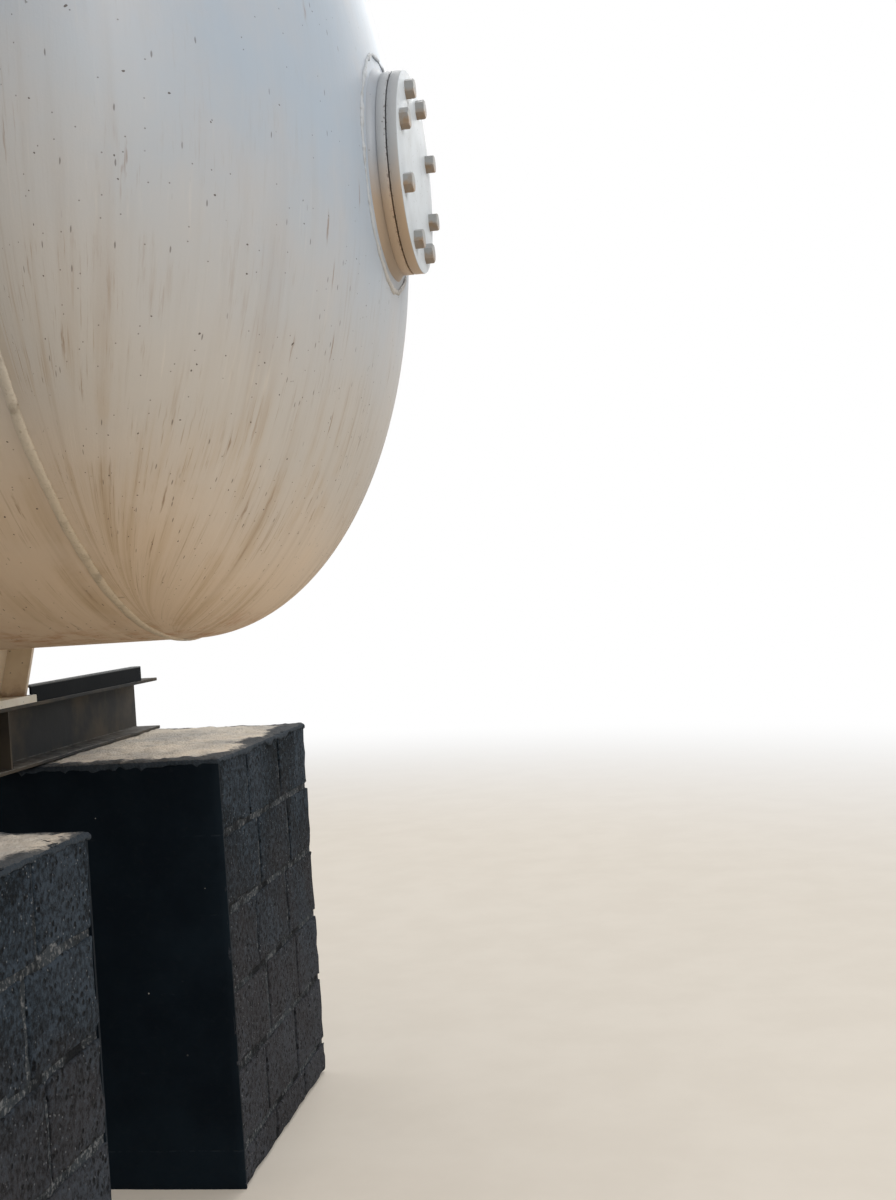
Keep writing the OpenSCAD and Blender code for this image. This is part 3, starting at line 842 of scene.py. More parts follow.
@dataclass(frozen=True)
class WhitePaint:
    """Brushed-on white paint over rough steel, with grey film, scratches and rust at low edges."""

    name: str
    clean: Colour = srgb(214, 214, 213)
    film: Colour = srgb(176, 170, 160)
    rust: Colour = srgb(120, 66, 34)
    bare: Colour = srgb(48, 46, 46)
    scale: Colour = srgb(42, 27, 20)
    speck: Colour = srgb(58, 46, 36)
    grit: Colour = srgb(70, 60, 50)
    rust_top: float = -10.0
    rust_foot: float = -11.0
    scratched: bool = False
    tan: Colour = srgb(196, 160, 118)
    tan_top: float = -10.0
    tan_foot: float = -11.0
    specks_x: float = -100.0
    shaded_rim_x: Optional[float] = None
    rim: Colour = srgb(160, 161, 162)

    def build(self) -> bpy.types.Material:
        """Makes the material.

        Tan and rust each grow from none at their top height to full at their foot, broken up by
        noise; the tan is partly dust and partly a painted warm reflection of the ground. Dark
        specks gather near one place along X. What lies behind the rim's place along X has the rim's
        tone, a painted shade on the side, and only there the tan holds.

        Returns:
            The material.
        """
        g = Graph(self.name)
        cloud = g.noise(9.0, 5.0, 0.6)
        runs = g.drawn(g.x * 40.0, g.y * 40.0, g.z * 3.0, 3.0, 0.6)
        g.ground(cloud.step(0.4, 0.75) * 0.6 + runs.step(0.55, 0.8) * 0.35, self.clean, self.film)
        tiny, shade = g.cells(60.0)
        grit = tiny.step(0.2, 0.12) * shade.step(0.78, 0.82)
        g.coat(grit * 0.6, self.grit)
        behind: Number = 1.0
        # Behind the rim's place, on the side, the rim tone is painted shade.
        if self.shaded_rim_x is not None:
            behind = g.x.step(self.shaded_rim_x, self.shaded_rim_x - 0.002)
            g.coat(behind * 0.9, self.rim)
        # Tan below tan_top: partly dust, partly a painted warm reflection of the ground.
        dust = (g.z + (cloud - 0.5) * 0.12).step(self.tan_top, self.tan_foot) * behind
        g.coat(dust * 0.85, self.tan)
        near = (g.x - self.specks_x).abs().step(0.007, 0.002)
        g.coat(near * g.noise(130.0, 3.0, 0.7).step(0.53, 0.62) * 0.8, self.speck)
        creep = g.noise(22.0, 6.0, 0.68)
        rust = (g.z + (creep - 0.5) * 0.11).step(self.rust_top, self.rust_foot)
        deep = (rust * creep.step(0.35, 0.6)).clamp()
        g.coat(rust * 0.75, self.rust)
        g.coat(deep * 0.8, self.scale)
        if self.scratched:
            scar = g.drawn(g.y * 5.0 + g.z * 16.0, g.z * 3.0 - g.y * 60.0, g.x, 3.0, 0.7)
            patch = g.noise(6.0, 1.0)
            g.coat(scar.step(0.70, 0.76) * patch.step(0.52, 0.6), self.bare)
        bump = g.noise(220.0, 2.0, 0.6) * 0.35 + cloud * 0.4 + rust * creep * 0.8
        return g.finish(0.42 + rust * 0.4 + cloud * 0.12, bump, 0.0011)


@dataclass(frozen=True)
class BeadPaint:
    """Paint over a rippled weld, with grime in patches and along the ripples."""

    name: str
    clean: Colour
    dirt: Colour
    axis_z: float
    radius: float
    tan: Colour = srgb(200, 178, 146)

    def build(self) -> bpy.types.Material:
        """Makes the material; the lower part of the vessel's bead is tan, as its plate is: partly
        dust and partly painted warm light bounced up from the ground.

        Returns:
            The material.
        """
        g = Graph(self.name)
        height = (g.z - self.axis_z) / self.radius
        ripple = g.noise(120.0, 3.0, 0.6)
        patch = g.noise(18.0, 4.0, 0.6)
        # Tan towards the bottom: partly dust, partly painted warm bounce light from the ground.
        g.ground(height.step(-0.05, -0.95) * 0.85, self.clean, self.tan)
        g.coat(patch.step(0.5, 0.72) * 0.5 + ripple.step(0.58, 0.7) * 0.35, self.dirt)
        return g.finish(0.5, ripple * 0.7 + patch * 0.3, 0.003)


@dataclass(frozen=True)
class NavyPaint:
    """Blue-black paint on rolled steel with brown dust and scuffs."""

    name: str
    base: Colour = srgb(28, 31, 33)
    dust: Colour = srgb(79, 71, 60)
    # worn: colour of wear and flecks, and of the painted edge highlight.
    worn: Colour = srgb(112, 110, 106)
    scuff: Colour = srgb(34, 33, 32)
    foot_z: float = 0.0
    highlight_top_z: float = 100.0
    highlight_end_y: float = 100.0
    specular: float = 0.3

    def build(self) -> bpy.types.Material:
        """Makes the material; dust lies in soft patches, a lighter broken line in the worn colour
        runs along the lower flange's top edge, and a painted highlight in the worn colour lines the
        top edge and the end.

        Returns:
            The material.
        """
        g = Graph(self.name)
        broad = g.noise(3.2, 4.0, 0.6)
        fine = g.noise(24.0, 5.0, 0.65)
        runs = g.drawn(g.x * 22.0, g.y * 22.0, g.z * 2.5, 4.0, 0.6)
        g.ground(broad.step(0.38, 0.64) * 0.85, self.base, self.dust)
        g.coat(runs.step(0.5, 0.8) * 0.22, self.dust)
        g.coat(fine.step(0.55, 0.8) * 0.4, self.scuff)
        # A lighter broken line along the lower flange's top edge; rim is a painted highlight along
        # the top edge and the end.
        low = (g.z - self.foot_z - 0.012).abs().step(0.004, 0.0015) * fine.step(0.38, 0.6)
        rim = (g.z.step(self.highlight_top_z - 0.006, self.highlight_top_z - 0.002)
               + g.y.step(self.highlight_end_y - 0.006, self.highlight_end_y - 0.002)).clamp()
        g.coat((low + rim * 0.9).clamp() * 0.6, self.worn)
        dots, tint = g.cells(30.0)
        flecks = dots.step(0.16, 0.1) * tint.step(0.86, 0.9)
        g.coat(flecks * 0.6, self.worn)
        bump = fine * 0.6 + g.noise(150.0, 2.0) * 0.4
        return g.finish(0.6 + broad * 0.25, bump, 0.001, specular=self.specular)


@dataclass(frozen=True)
class BlockPaint:
    """Charcoal paint on pitted hollow blocks."""

    name: str
    base: Colour = srgb(9, 17, 23)
    pale: Colour = srgb(56, 66, 76)
    pit: Colour = srgb(2, 4, 7)
    brown: Colour = srgb(68, 65, 67)
    chip: Colour = srgb(128, 130, 132)

    def build(self) -> bpy.types.Material:
        """Makes the material: pits and grains in the bump, tone by slow noise.

        Returns:
            The material.
        """
        g = Graph(self.name)
        broad = g.noise(2.6, 3.0, 0.5)
        mid = g.noise(14.0, 4.0, 0.65)
        fine = g.noise(66.0, 5.0, 0.75)
        pits, _ = g.cells(44.0)
        holes = pits.step(0.36, 0.18) * mid.step(0.36, 0.6)
        grains, tint = g.cells(84.0)
        worn = broad.step(0.40, 0.64) * 0.45 + mid.step(0.48, 0.68) * 0.3
        g.ground((worn + fine.step(0.47, 0.63) * 0.6).clamp(), self.base, self.pale)
        low = (g.z + (broad - 0.5) * 1.6).step(1.15, 0.35)
        g.coat(low * 0.52 + broad.step(0.5, 0.7) * 0.08, self.brown)
        g.coat(fine.step(0.50, 0.36) * 0.75, self.pit)
        g.coat(holes * 0.9, self.pit)
        g.coat(grains.step(0.27, 0.12) * tint.step(0.88, 0.93) * 0.7, self.chip)
        bump = mid * 0.6 + fine * 0.9 + grains * 0.3 - holes * 0.9
        return g.finish(0.88, bump, 0.010, specular=0.12)


@dataclass(frozen=True)
class JointMortar:
    """Grey joint mortar, painted over here and there."""

    name: str
    base: Colour = srgb(54, 59, 63)
    dark: Colour = srgb(8, 11, 15)
    crumb: Colour = srgb(112, 113, 114)

    def build(self) -> bpy.types.Material:
        """Makes the material.

        Returns:
            The material.
        """
        g = Graph(self.name)
        broad = g.noise(7.0, 4.0, 0.6)
        fine = g.noise(80.0, 4.0, 0.7)
        g.ground(broad.step(0.36, 0.58), self.dark, self.base)
        g.coat(fine.step(0.50, 0.62) * broad.step(0.38, 0.52) * 0.9, self.crumb)
        return g.finish(0.9, fine * 1.2 + broad * 0.4, 0.010, specular=0.15)


@dataclass(frozen=True)
class BlackRender:
    """Smooth render on the wall's end, painted blue-black, with splashes and faint courses."""

    name: str
    top: float
    pitch: float
    base: Colour = srgb(3, 12, 20)
    faint: Colour = srgb(15, 26, 34)
    splash: Colour = srgb(168, 166, 158)
    course: Colour = srgb(40, 48, 54)
    haze: Colour = srgb(22, 27, 32)

    def build(self) -> bpy.types.Material:
        """Makes the material; faint lines lie whole courses below the top.

        Returns:
            The material.
        """
        g = Graph(self.name)
        broad = g.noise(3.0, 4.0, 0.6)
        fine = g.noise(40.0, 5.0, 0.65)
        course = ((self.top - g.z + (g.noise(7.0, 2.0) - 0.5) * 0.008) / self.pitch).fraction()
        joint = (course - 0.5).abs().step(0.485, 0.497)
        line = joint * fine.step(0.45, 0.6) * broad.step(0.45, 0.6)
        g.ground(broad.step(0.35, 0.7) * 0.7, self.base, self.faint)
        g.coat(fine.step(0.55, 0.75) * 0.35, self.haze)
        g.coat(line * 0.45, self.course)
        dots, size = g.cells(15.0)
        splash = (dots + size * 0.04).step(0.082, 0.058) * size.step(0.52, 0.56)
        drips, hue = g.cells(1.0, g.vector(g.x * 16.0, g.y * 16.0, g.z * 2.0))
        drip = drips.step(0.055, 0.03) * hue.step(0.86, 0.88) * g.z.step(0.9, 1.1)
        g.coat((splash + drip).clamp() * 0.75, self.splash)
        bump = broad * 0.5 + fine * 0.5 - line * 0.5
        return g.finish(0.6 + fine * 0.2, bump, 0.003, specular=0.1)


@dataclass(frozen=True)
class SandyMortar:
    """Rough pale mortar on the wall's top, with dark paint on its rims."""

    name: str
    low: Tuple[float, float, float]
    high: Tuple[float, float, float]
    sand: Colour = srgb(222, 211, 195)
    grey: Colour = srgb(176, 172, 166)
    paint: Colour = srgb(46, 53, 60)
    fresh: Colour = srgb(204, 197, 186)
    grain: Colour = srgb(86, 80, 72)
    rim: float = 0.055
    hang: float = 0.012

    def build(self) -> bpy.types.Material:
        """Makes the material; paint covers what is near the rim or hangs over it.

        Returns:
            The material.
        """
        g = Graph(self.name)
        broad = g.noise(4.0, 4.0, 0.6)
        fine = g.noise(70.0, 4.0, 0.7)
        grains, tint = g.cells(120.0)
        edge_x = (g.x - self.low[0]).at_most(self.high[0] - g.x)
        edge_y = (g.y - self.low[1]).at_most(self.high[1] - g.y)
        edge = edge_x.at_most(edge_y)
        ragged = (broad - 0.5) * self.rim * 5.0 + (fine - 0.5) * 0.06
        rim = (edge + ragged).step(self.rim + 0.018, self.rim - 0.018)
        g.ground(broad.step(0.3, 0.7), self.grey, self.sand)
        g.coat(grains.step(0.3, 0.1) * tint.step(0.6, 0.8) * 0.6, self.grain)
        g.coat(fine.step(0.6, 0.85) * 0.5, self.fresh)
        top = self.high[2] + (fine - 0.5) * 0.012
        below = (top - g.z).step(self.hang - 0.003, self.hang + 0.003)
        g.coat((rim * 0.92 + below * 0.9).clamp(), self.paint)
        return g.finish(0.92, fine * 0.5 + grains * 0.4 + broad * 0.6, 0.007, specular=0.2)


@dataclass(frozen=True)
class WeatheredPaint:
    """Cream paint on a valve or pipe, with rust breaking through."""

    name: str
    base: Colour = srgb(186, 160, 122)
    rust: Colour = srgb(122, 72, 40)
    dark: Colour = srgb(62, 42, 30)

    def build(self) -> bpy.types.Material:
        """Makes the material.

        Returns:
            The material.
        """
        g = Graph(self.name)
        broad = g.noise(13.0, 5.0, 0.6)
        fine = g.noise(90.0, 4.0, 0.7)
        g.ground(broad.step(0.42, 0.62), self.base, self.rust)
        g.coat((broad.step(0.55, 0.75) * fine.step(0.4, 0.6)).clamp(), self.dark)
        return g.finish(0.6 + broad * 0.25, fine * 0.6 + broad * 0.4, 0.0018)


@dataclass(frozen=True)
class BoltPaint:
    """Painted bolts on a circle round X, grey on top and tan with rust underneath; the tan
    underneath is a painted warm reflection of the ground.
    """

    name: str
    axis_z: float
    circle: float
    first: float
    count: int
    base: Colour = srgb(142, 143, 142)
    under: Colour = srgb(142, 120, 96)
    rust: Colour = srgb(84, 62, 44)

    def build(self) -> bpy.types.Material:
        """Makes the material.

        The nearest bolt's angle is the first one's plus a whole number of pitches, and its height
        is the axis less the circle's radius times the cosine of that angle.

        Returns:
            The material.
        """
        g = Graph(self.name)
        mid = g.noise(38.0, 4.0, 0.6)
        fine = g.noise(240.0, 3.0, 0.6)
        pitch = 2.0 * math.pi / self.count
        turn = (g.y.angle_to(self.axis_z - g.z) - self.first) / pitch
        nearest = turn - ((turn + 0.5).fraction() - 0.5)
        below = self.axis_z - (nearest * pitch + self.first).cosine() * self.circle - g.z
        # low marks each bolt's lower side, where the tan is a painted warm reflection of the
        # ground.
        low = (below + (mid - 0.5) * 0.03).step(-0.004, 0.016)
        g.ground((low * 0.7 + mid.step(0.5, 0.7) * 0.35).clamp(), self.base, self.under)
        g.coat(fine.step(0.62, 0.75) * 0.4, self.rust)
        return g.finish(0.48, fine * 0.6 + mid * 0.4, 0.0008)


@dataclass(frozen=True)
class DullSteel:
    """Bare steel that has gone grey-brown."""

    name: str
    base: Colour = srgb(150, 142, 132)
    brown: Colour = srgb(104, 76, 54)

    def build(self) -> bpy.types.Material:
        """Makes the material.

        Returns:
            The material.
        """
        g = Graph(self.name)
        mid = g.noise(45.0, 4.0, 0.6)
        fine = g.noise(260.0, 2.0, 0.6)
        g.ground(mid.step(0.4, 0.7), self.base, self.brown)
        return g.finish(0.5 + mid * 0.25, fine, 0.0005, metal=0.6)


@dataclass(frozen=True)
class DarkRubber:
    """Edge of the gasket, dark and dull."""

    name: str
    base: Colour = srgb(34, 30, 28)
    dust: Colour = srgb(70, 60, 52)

    def build(self) -> bpy.types.Material:
        """Makes the material.

        Returns:
            The material.
        """
        g = Graph(self.name)
        fine = g.noise(120.0, 3.0, 0.6)
        g.ground(fine.step(0.3, 0.8), self.base, self.dust)
        return g.finish(0.85, fine, 0.0005)


# ---------------------------------------------------------------- the tank's own sizes


def extent(node: str) -> Tuple[Array, Array]:
    """Lowest and highest corner of a solid, in metres."""
    low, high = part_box(node)
    return np.array(low, dtype=float), np.array(high, dtype=float)


def span(node: str, axis: int) -> Tuple[float, float]:
    """Lowest and highest place of a solid along one axis, in metres."""
    low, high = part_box(node)
    return float(low[axis]), float(high[axis])


@dataclass
class Sizes:
    """Measures that several assemblies share, read from the frame's solids."""

    seam_front: float = field(init=False)
    seam_rear: float = field(init=False)
    axis_z: float = field(init=False)
    radius: float = field(init=False)
    crown: float = field(init=False)
    flange: float = 0.025
    neck_bore: float = 0.178

    def __post_init__(self) -> None:
        """Reads the solids."""
        self.seam_front = 0.5 * sum(span("head_seam_front", 0))
        self.seam_rear = 0.5 * sum(span("head_seam_rear", 0))
        low, high = span("shell_middle_course", 2)
        self.axis_z = 0.5 * (low + high)
        self.radius = 0.5 * (high - low)
        self.crown = -span("head_rear", 0)[0] + self.seam_rear

    @property
    def depth(self) -> float:
        """Depth of a head's dish, without its straight flange."""
        return self.crown - self.flange


@dataclass
class Vessel:
    """Shell courses, dished heads and their welds."""

    sizes: Sizes
    plate: float = 0.016
    segments: int = 224
    bead_width: float = 0.024
    bead_height: float = 0.0058
    seam_turn: float = 52.0
    outer_rows: int = 72
    inner_rows: int = 24
    ring_steps: int = 900
    bar_steps: int = 220

    def paint(self, flow: Flow) -> bpy.types.Material:
        """Paint whose dirt runs the right way for a part of the vessel.

        Args:
            flow: The part.

        Returns:
            The material.
        """
        s = self.sizes
        dish_x = s.seam_rear - s.flange if flow is Flow.REAR_DISH else s.seam_front + s.flange
        name = "tank_paint_" + flow.value
        return TankPaint(name, flow, s.axis_z, s.radius, dish_x, s.depth).build()

    def head(self, front: bool) -> None:
        """Makes a dished head: half an ellipse, then the straight flange, then the inside.

        The outside is x = flange + depth * cos(a), r = radius * sin(a); the inside is the same with
        a plate's thickness less.

        Args:
            front: Whether it is the front head, which has the manway.
        """
        s = self.sizes
        hole = s.neck_bore if front else 0.0
        inside = s.radius - self.plate
        a = np.linspace(math.asin(hole / s.radius), math.pi / 2, self.outer_rows)
        b = np.linspace(math.pi / 2, math.asin(hole / inside), self.inner_rows)
        outer = spread(s.flange + s.depth * np.cos(a), s.radius * np.sin(a))
        rim = [[0.8 * s.flange, s.radius], [0.0, s.radius], [0.0, inside]]
        inner = spread(s.flange + (s.depth - self.plate) * np.cos(b), inside * np.sin(b))
        profile = np.vstack([outer, rim, inner])
        if not front:
            profile[:, 0] *= -1.0
        base = s.seam_front if front else s.seam_rear
        shape = revolve(profile, (base, 0.0, s.axis_z), self.segments, closed=front)
        name = "head_front" if front else "head_rear"
        paint = self.paint(Flow.FRONT_DISH if front else Flow.REAR_DISH)
        settle(sharpen(shape.to_object(name + "_skin", paint), 50.0), [name])

    def ring_bead(self, x: float, seed: int) -> Surface:
        """A lumpy weld bead round the shell at one place.

        Args:
            x: The place along X.
            seed: Which noise.

        Returns:
            The surface.
        """
        s = self.sizes
        turn = full_turn(self.ring_steps)
        out = spread(0.0, np.cos(turn), np.sin(turn))
        wander = 0.0018 * np.sin(turn * 9.0 + seed) + 0.001 * np.sin(turn * 31.0 + 2.0 * seed)
        path = np.array([x, 0.0, s.axis_z]) + s.radius * out
        path[:, 0] += wander
        return weld_bead(path, out, self.bead_width, self.bead_height, seed, closed=True, lump=0.14)

    def bar_bead(self, x0: float, x1: float, y: float, z: float, seed: int) -> Surface:
        """A straight weld bead along the shell between two places.

        Args:
            x0: Where it starts.
            x1: Where it ends.
            y: Place across of the line that it follows.
            z: Height of that line.
            seed: Which noise.

        Returns:
            The surface.
        """
        s = self.sizes
        out = unit(np.array([0.0, y, z - s.axis_z]))
        x = np.linspace(x0, x1, self.bar_steps)
        path = spread(x, out[1] * s.radius, s.axis_z + out[2] * s.radius)
        across = np.tile(out, (len(path), 1))
        return weld_bead(path, across, self.bead_width, self.bead_height, seed, lump=0.16)

    def build(self) -> None:
        """Makes and dresses every piece of the vessel."""
        s = self.sizes
        shell = self.paint(Flow.SHELL)
        for node in ("shell_front_course", "shell_middle_course", "shell_rear_course"):
            dress(node, shell)
        bead = BeadPaint("weld_paint", srgb(170, 170, 167), srgb(108, 94, 76), s.axis_z,
                         s.radius).build()
        for front in (True, False):
            self.head(front)
        for end, x, seed in (("front", s.seam_front, 3), ("rear", s.seam_rear, 4)):
            weld = self.ring_bead(x, seed).to_object("head_weld_" + end, bead)
            settle(weld, ["head_seam_" + end])
        course = span("shell_middle_course", 0)
        rings = Surface.join([self.ring_bead(course[0], 5), self.ring_bead(course[1], 6)])
        settle(rings.to_object("girth_welds", bead), ["girth_seams"])
        places = [s.seam_rear, course[0], course[1], s.seam_front]
        edge = 0.5 * self.bead_width
        bars = []
        for k, side in enumerate((-1.0, 1.0, -1.0)):
            turn = math.radians(side * self.seam_turn)
            y, z = -math.sin(turn), s.axis_z + math.cos(turn)
            bars.append(self.bar_bead(places[k] + edge, places[k + 1] - edge, y, z, 11 + k))
        settle(Surface.join(bars).to_object("long_welds", bead), ["long_seams"])
        log.info("vessel: two heads, three courses, welds")


def dress(node: str, finish: bpy.types.Material) -> None:
    """Gives a solid of the frame its material and leaves its shape alone.

    Args:
        node: The solid's name.
        finish: Its material.
    """
    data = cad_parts[node].data
    data.materials.clear()
    data.materials.append(finish)


@dataclass
class Manway:
    """Collar, ring flange, gasket, cover and bolts on the front head."""

    sizes: Sizes
    collar_r: float = 0.300
    bolt_circle: float = 0.212
    bolt_flats: float = 0.046
    edge: float = 0.0022
    turn: float = 23.0
    count: int = 8
    steps: int = 160
    toe_steps: int = 420
    bolt_steps: int = 60
    collar_rows: int = 14
    cover_ring: float = 0.12
    toe_slope: float = 0.26
    toe_width: float = 0.014
    toe_height: float = 0.0045

    def disc(self, node: str, bore: float) -> Surface:
        """A flange or cover: a flat disc or ring whose rims are rounded by three points each.

        Args:
            node: The solid that gives the sizes.
            bore: Radius of the hole, or 0.

        Returns:
            The surface.
        """
        x0, x1 = span(node, 0)
        y0, y1 = span(node, 1)
        r = 0.5 * (y1 - y0)
        e, cut = self.edge, 0.3 * self.edge
        rim = [[x0, r - e], [x0 + cut, r - cut], [x0 + e, r],
               [x1 - e, r], [x1 - cut, r - cut], [x1, r - e]]
        inner = [bore] if bore > 0.0 else [0.0, self.cover_ring]
        profile = np.array([[x0, v] for v in inner] + rim + [[x1, v] for v in inner[::-1]])
        return revolve(profile, (0.0, 0.0, self.sizes.axis_z), self.steps, closed=bore > 0.0)

    def dish_x(self, radius: Array) -> Array:
        """Place of the head's outside at a radius: flange + depth * sqrt(1 - (r / R) squared)."""
        s = self.sizes
        return s.seam_front + s.flange + s.depth * np.sqrt(1.0 - (radius / s.radius) ** 2)

    def collar(self) -> Surface:
        """The flared collar between flange and head, with hammered unevenness.

        With t from 0 at the flange to 1 at the head, the radius grows as a quarter of t and three
        quarters of t to the power 2.4, and the place goes as 1 less (1 - t) to the power 1.6.

        Returns:
            The surface.
        """
        y0, y1 = span("manway_ring", 1)
        top = 0.5 * (y1 - y0) - 0.0025
        x_top = span("manway_ring", 0)[0] + 0.001
        rows = self.collar_rows
        t = np.linspace(0.0, 1.0, rows)
        radius = top + (self.collar_r - top) * (0.25 * t + 0.75 * t ** 2.4)
        foot = float(self.dish_x(np.array([self.collar_r]))[0]) - 0.003
        along = x_top + (foot - x_top) * (1.0 - (1.0 - t) ** 1.6)
        lining = [[foot - 0.004, 0.20], [x_top - 0.004, 0.18], [x_top, 0.19]]
        profile = np.vstack([spread(along, radius), lining])

        def shift(turn: Array, row: Array) -> Array:
            """Metres of unevenness, none at the flange."""
            wave = 0.0016 * np.sin(turn * 5.0 + 1.0) + 0.0010 * np.sin(turn * 13.0)
            return wave * np.clip(row / (rows - 1.0), 0.0, 1.0) * (row < rows)

        return revolve(profile, (0.0, 0.0, self.sizes.axis_z), self.steps, closed=True, shift=shift)

    def toe_weld(self) -> Surface:
        """The coarse weld where the collar meets the head.

        Returns:
            The surface.
        """
        s = self.sizes
        turn = full_turn(self.toe_steps)
        radius = (self.collar_r + 0.003 + 0.0022 * np.sin(turn * 7.0)
                  + 0.0014 * np.sin(turn * 23.0 + 1.0))
        out = unit(spread(1.0, self.toe_slope * np.cos(turn), self.toe_slope * np.sin(turn)))
        path = spread(self.dish_x(radius), radius * np.cos(turn), s.axis_z + radius * np.sin(turn))
        return weld_bead(path, out, self.toe_width, self.toe_height, 31, closed=True, lump=0.8)

    def bolts(self) -> Surface:
        """Hexagon heads with a chamfer.

        The top falls by the tangent of 30 degrees where the hexagon is wider than a circle.

        Returns:
            The surface.
        """
        x0 = span("manway_cover", 0)[1]
        height = span("manway_bolts", 0)[1] - x0
        theta = full_turn(self.bolt_steps)
        flat = 0.5 * self.bolt_flats
        local = (theta + math.pi / 6) % (math.pi / 3) - math.pi / 6
        hexagon = flat / np.cos(local)
        top = height - np.clip(hexagon - flat * 0.97, 0.0, 1.0) * math.tan(math.radians(30.0))
        rings = [(0.0, hexagon), (top - 0.0006, hexagon), (top, hexagon - 0.0006),
                 (height, flat * 0.95), (height, flat * 0.40)]
        parts = []
        for k in range(self.count):
            place = math.radians(180.0 - self.turn + k * 360.0 / self.count)
            # The bolt circle's zero points down, as the solids' does.
            centre = np.array([x0, self.bolt_circle * math.sin(place),
                               self.sizes.axis_z - self.bolt_circle * math.cos(place)])
            turned = theta + 0.7 * k * k + 0.3 * k
            points = centre + np.stack([spread(h, r * np.cos(turned), r * np.sin(turned))
                                        for h, r in rings])
            parts.append(Surface.grid(points, wrap_v=True))
            parts.append(Surface.fan(points[-1], centre + np.array([height, 0.0, 0.0])))
            parts.append(Surface.fan(points[0], centre))
        return Surface.join(parts)

    def build(self) -> None:
        """Makes and dresses the manway."""
        s = self.sizes
        x_joint = span("manway_gasket", 0)[0]
        # Below these heights the manway's paints turn tan: partly dust, partly a painted warm
        # reflection of the ground.
        under = {"tan_top": s.axis_z + 0.02, "tan_foot": s.axis_z - 0.16}
        tan_and_specks = {"tan": srgb(186, 156, 122), "specks_x": x_joint + 0.001}
        paint = WhitePaint("manway_paint", clean=srgb(166, 169, 172), film=srgb(156, 158, 160),
                           **tan_and_specks, **under).build()
        # The collar's paint is a darker copy of the white paint: painted shade round the collar.
        flare = WhitePaint("collar_paint_shaded", clean=srgb(144, 150, 158), film=srgb(144, 146, 150),
                           tan=srgb(158, 134, 106), **under).build()
        face_x = span("manway_cover", 0)[1]
        # The cover's paint is a brighter copy of the white paint: painted light on its face; its
        # rim tone is painted shade on its side.
        cover = WhitePaint("cover_paint_lit", clean=srgb(190, 196, 201), film=srgb(172, 176, 178),
                           scratched=True, shaded_rim_x=face_x - 0.0008, **tan_and_specks, **under).build()
        dress("manway_neck", paint)
        for node, name, bore, coat in (("manway_ring", "ring_flange", s.neck_bore, paint),
                                       ("manway_cover", "cover_disc", 0.0, cover)):
            settle(sharpen(self.disc(node, bore).to_object(name, coat)), [node])
        dress("manway_gasket", DarkRubber("gasket_edge").build())
        settle(sharpen(self.collar().to_object("collar_flare", flare), 60.0), ["manway_collar"])
        weld = BeadPaint("manway_weld_paint", srgb(166, 170, 174), srgb(128, 122, 114),
                         s.axis_z - 0.1, 0.5).build()
        settle(self.toe_weld().to_object("manway_toe_weld", weld))
        finish = BoltPaint("bolt_paint", s.axis_z, self.bolt_circle,
                           math.radians(180.0 - self.turn), self.count).build()
        settle(sharpen(self.bolts().to_object("cover_bolt_heads", finish), 25.0), ["manway_bolts"])
        log.info("manway: collar, ring, cover, %d bolts", self.count)


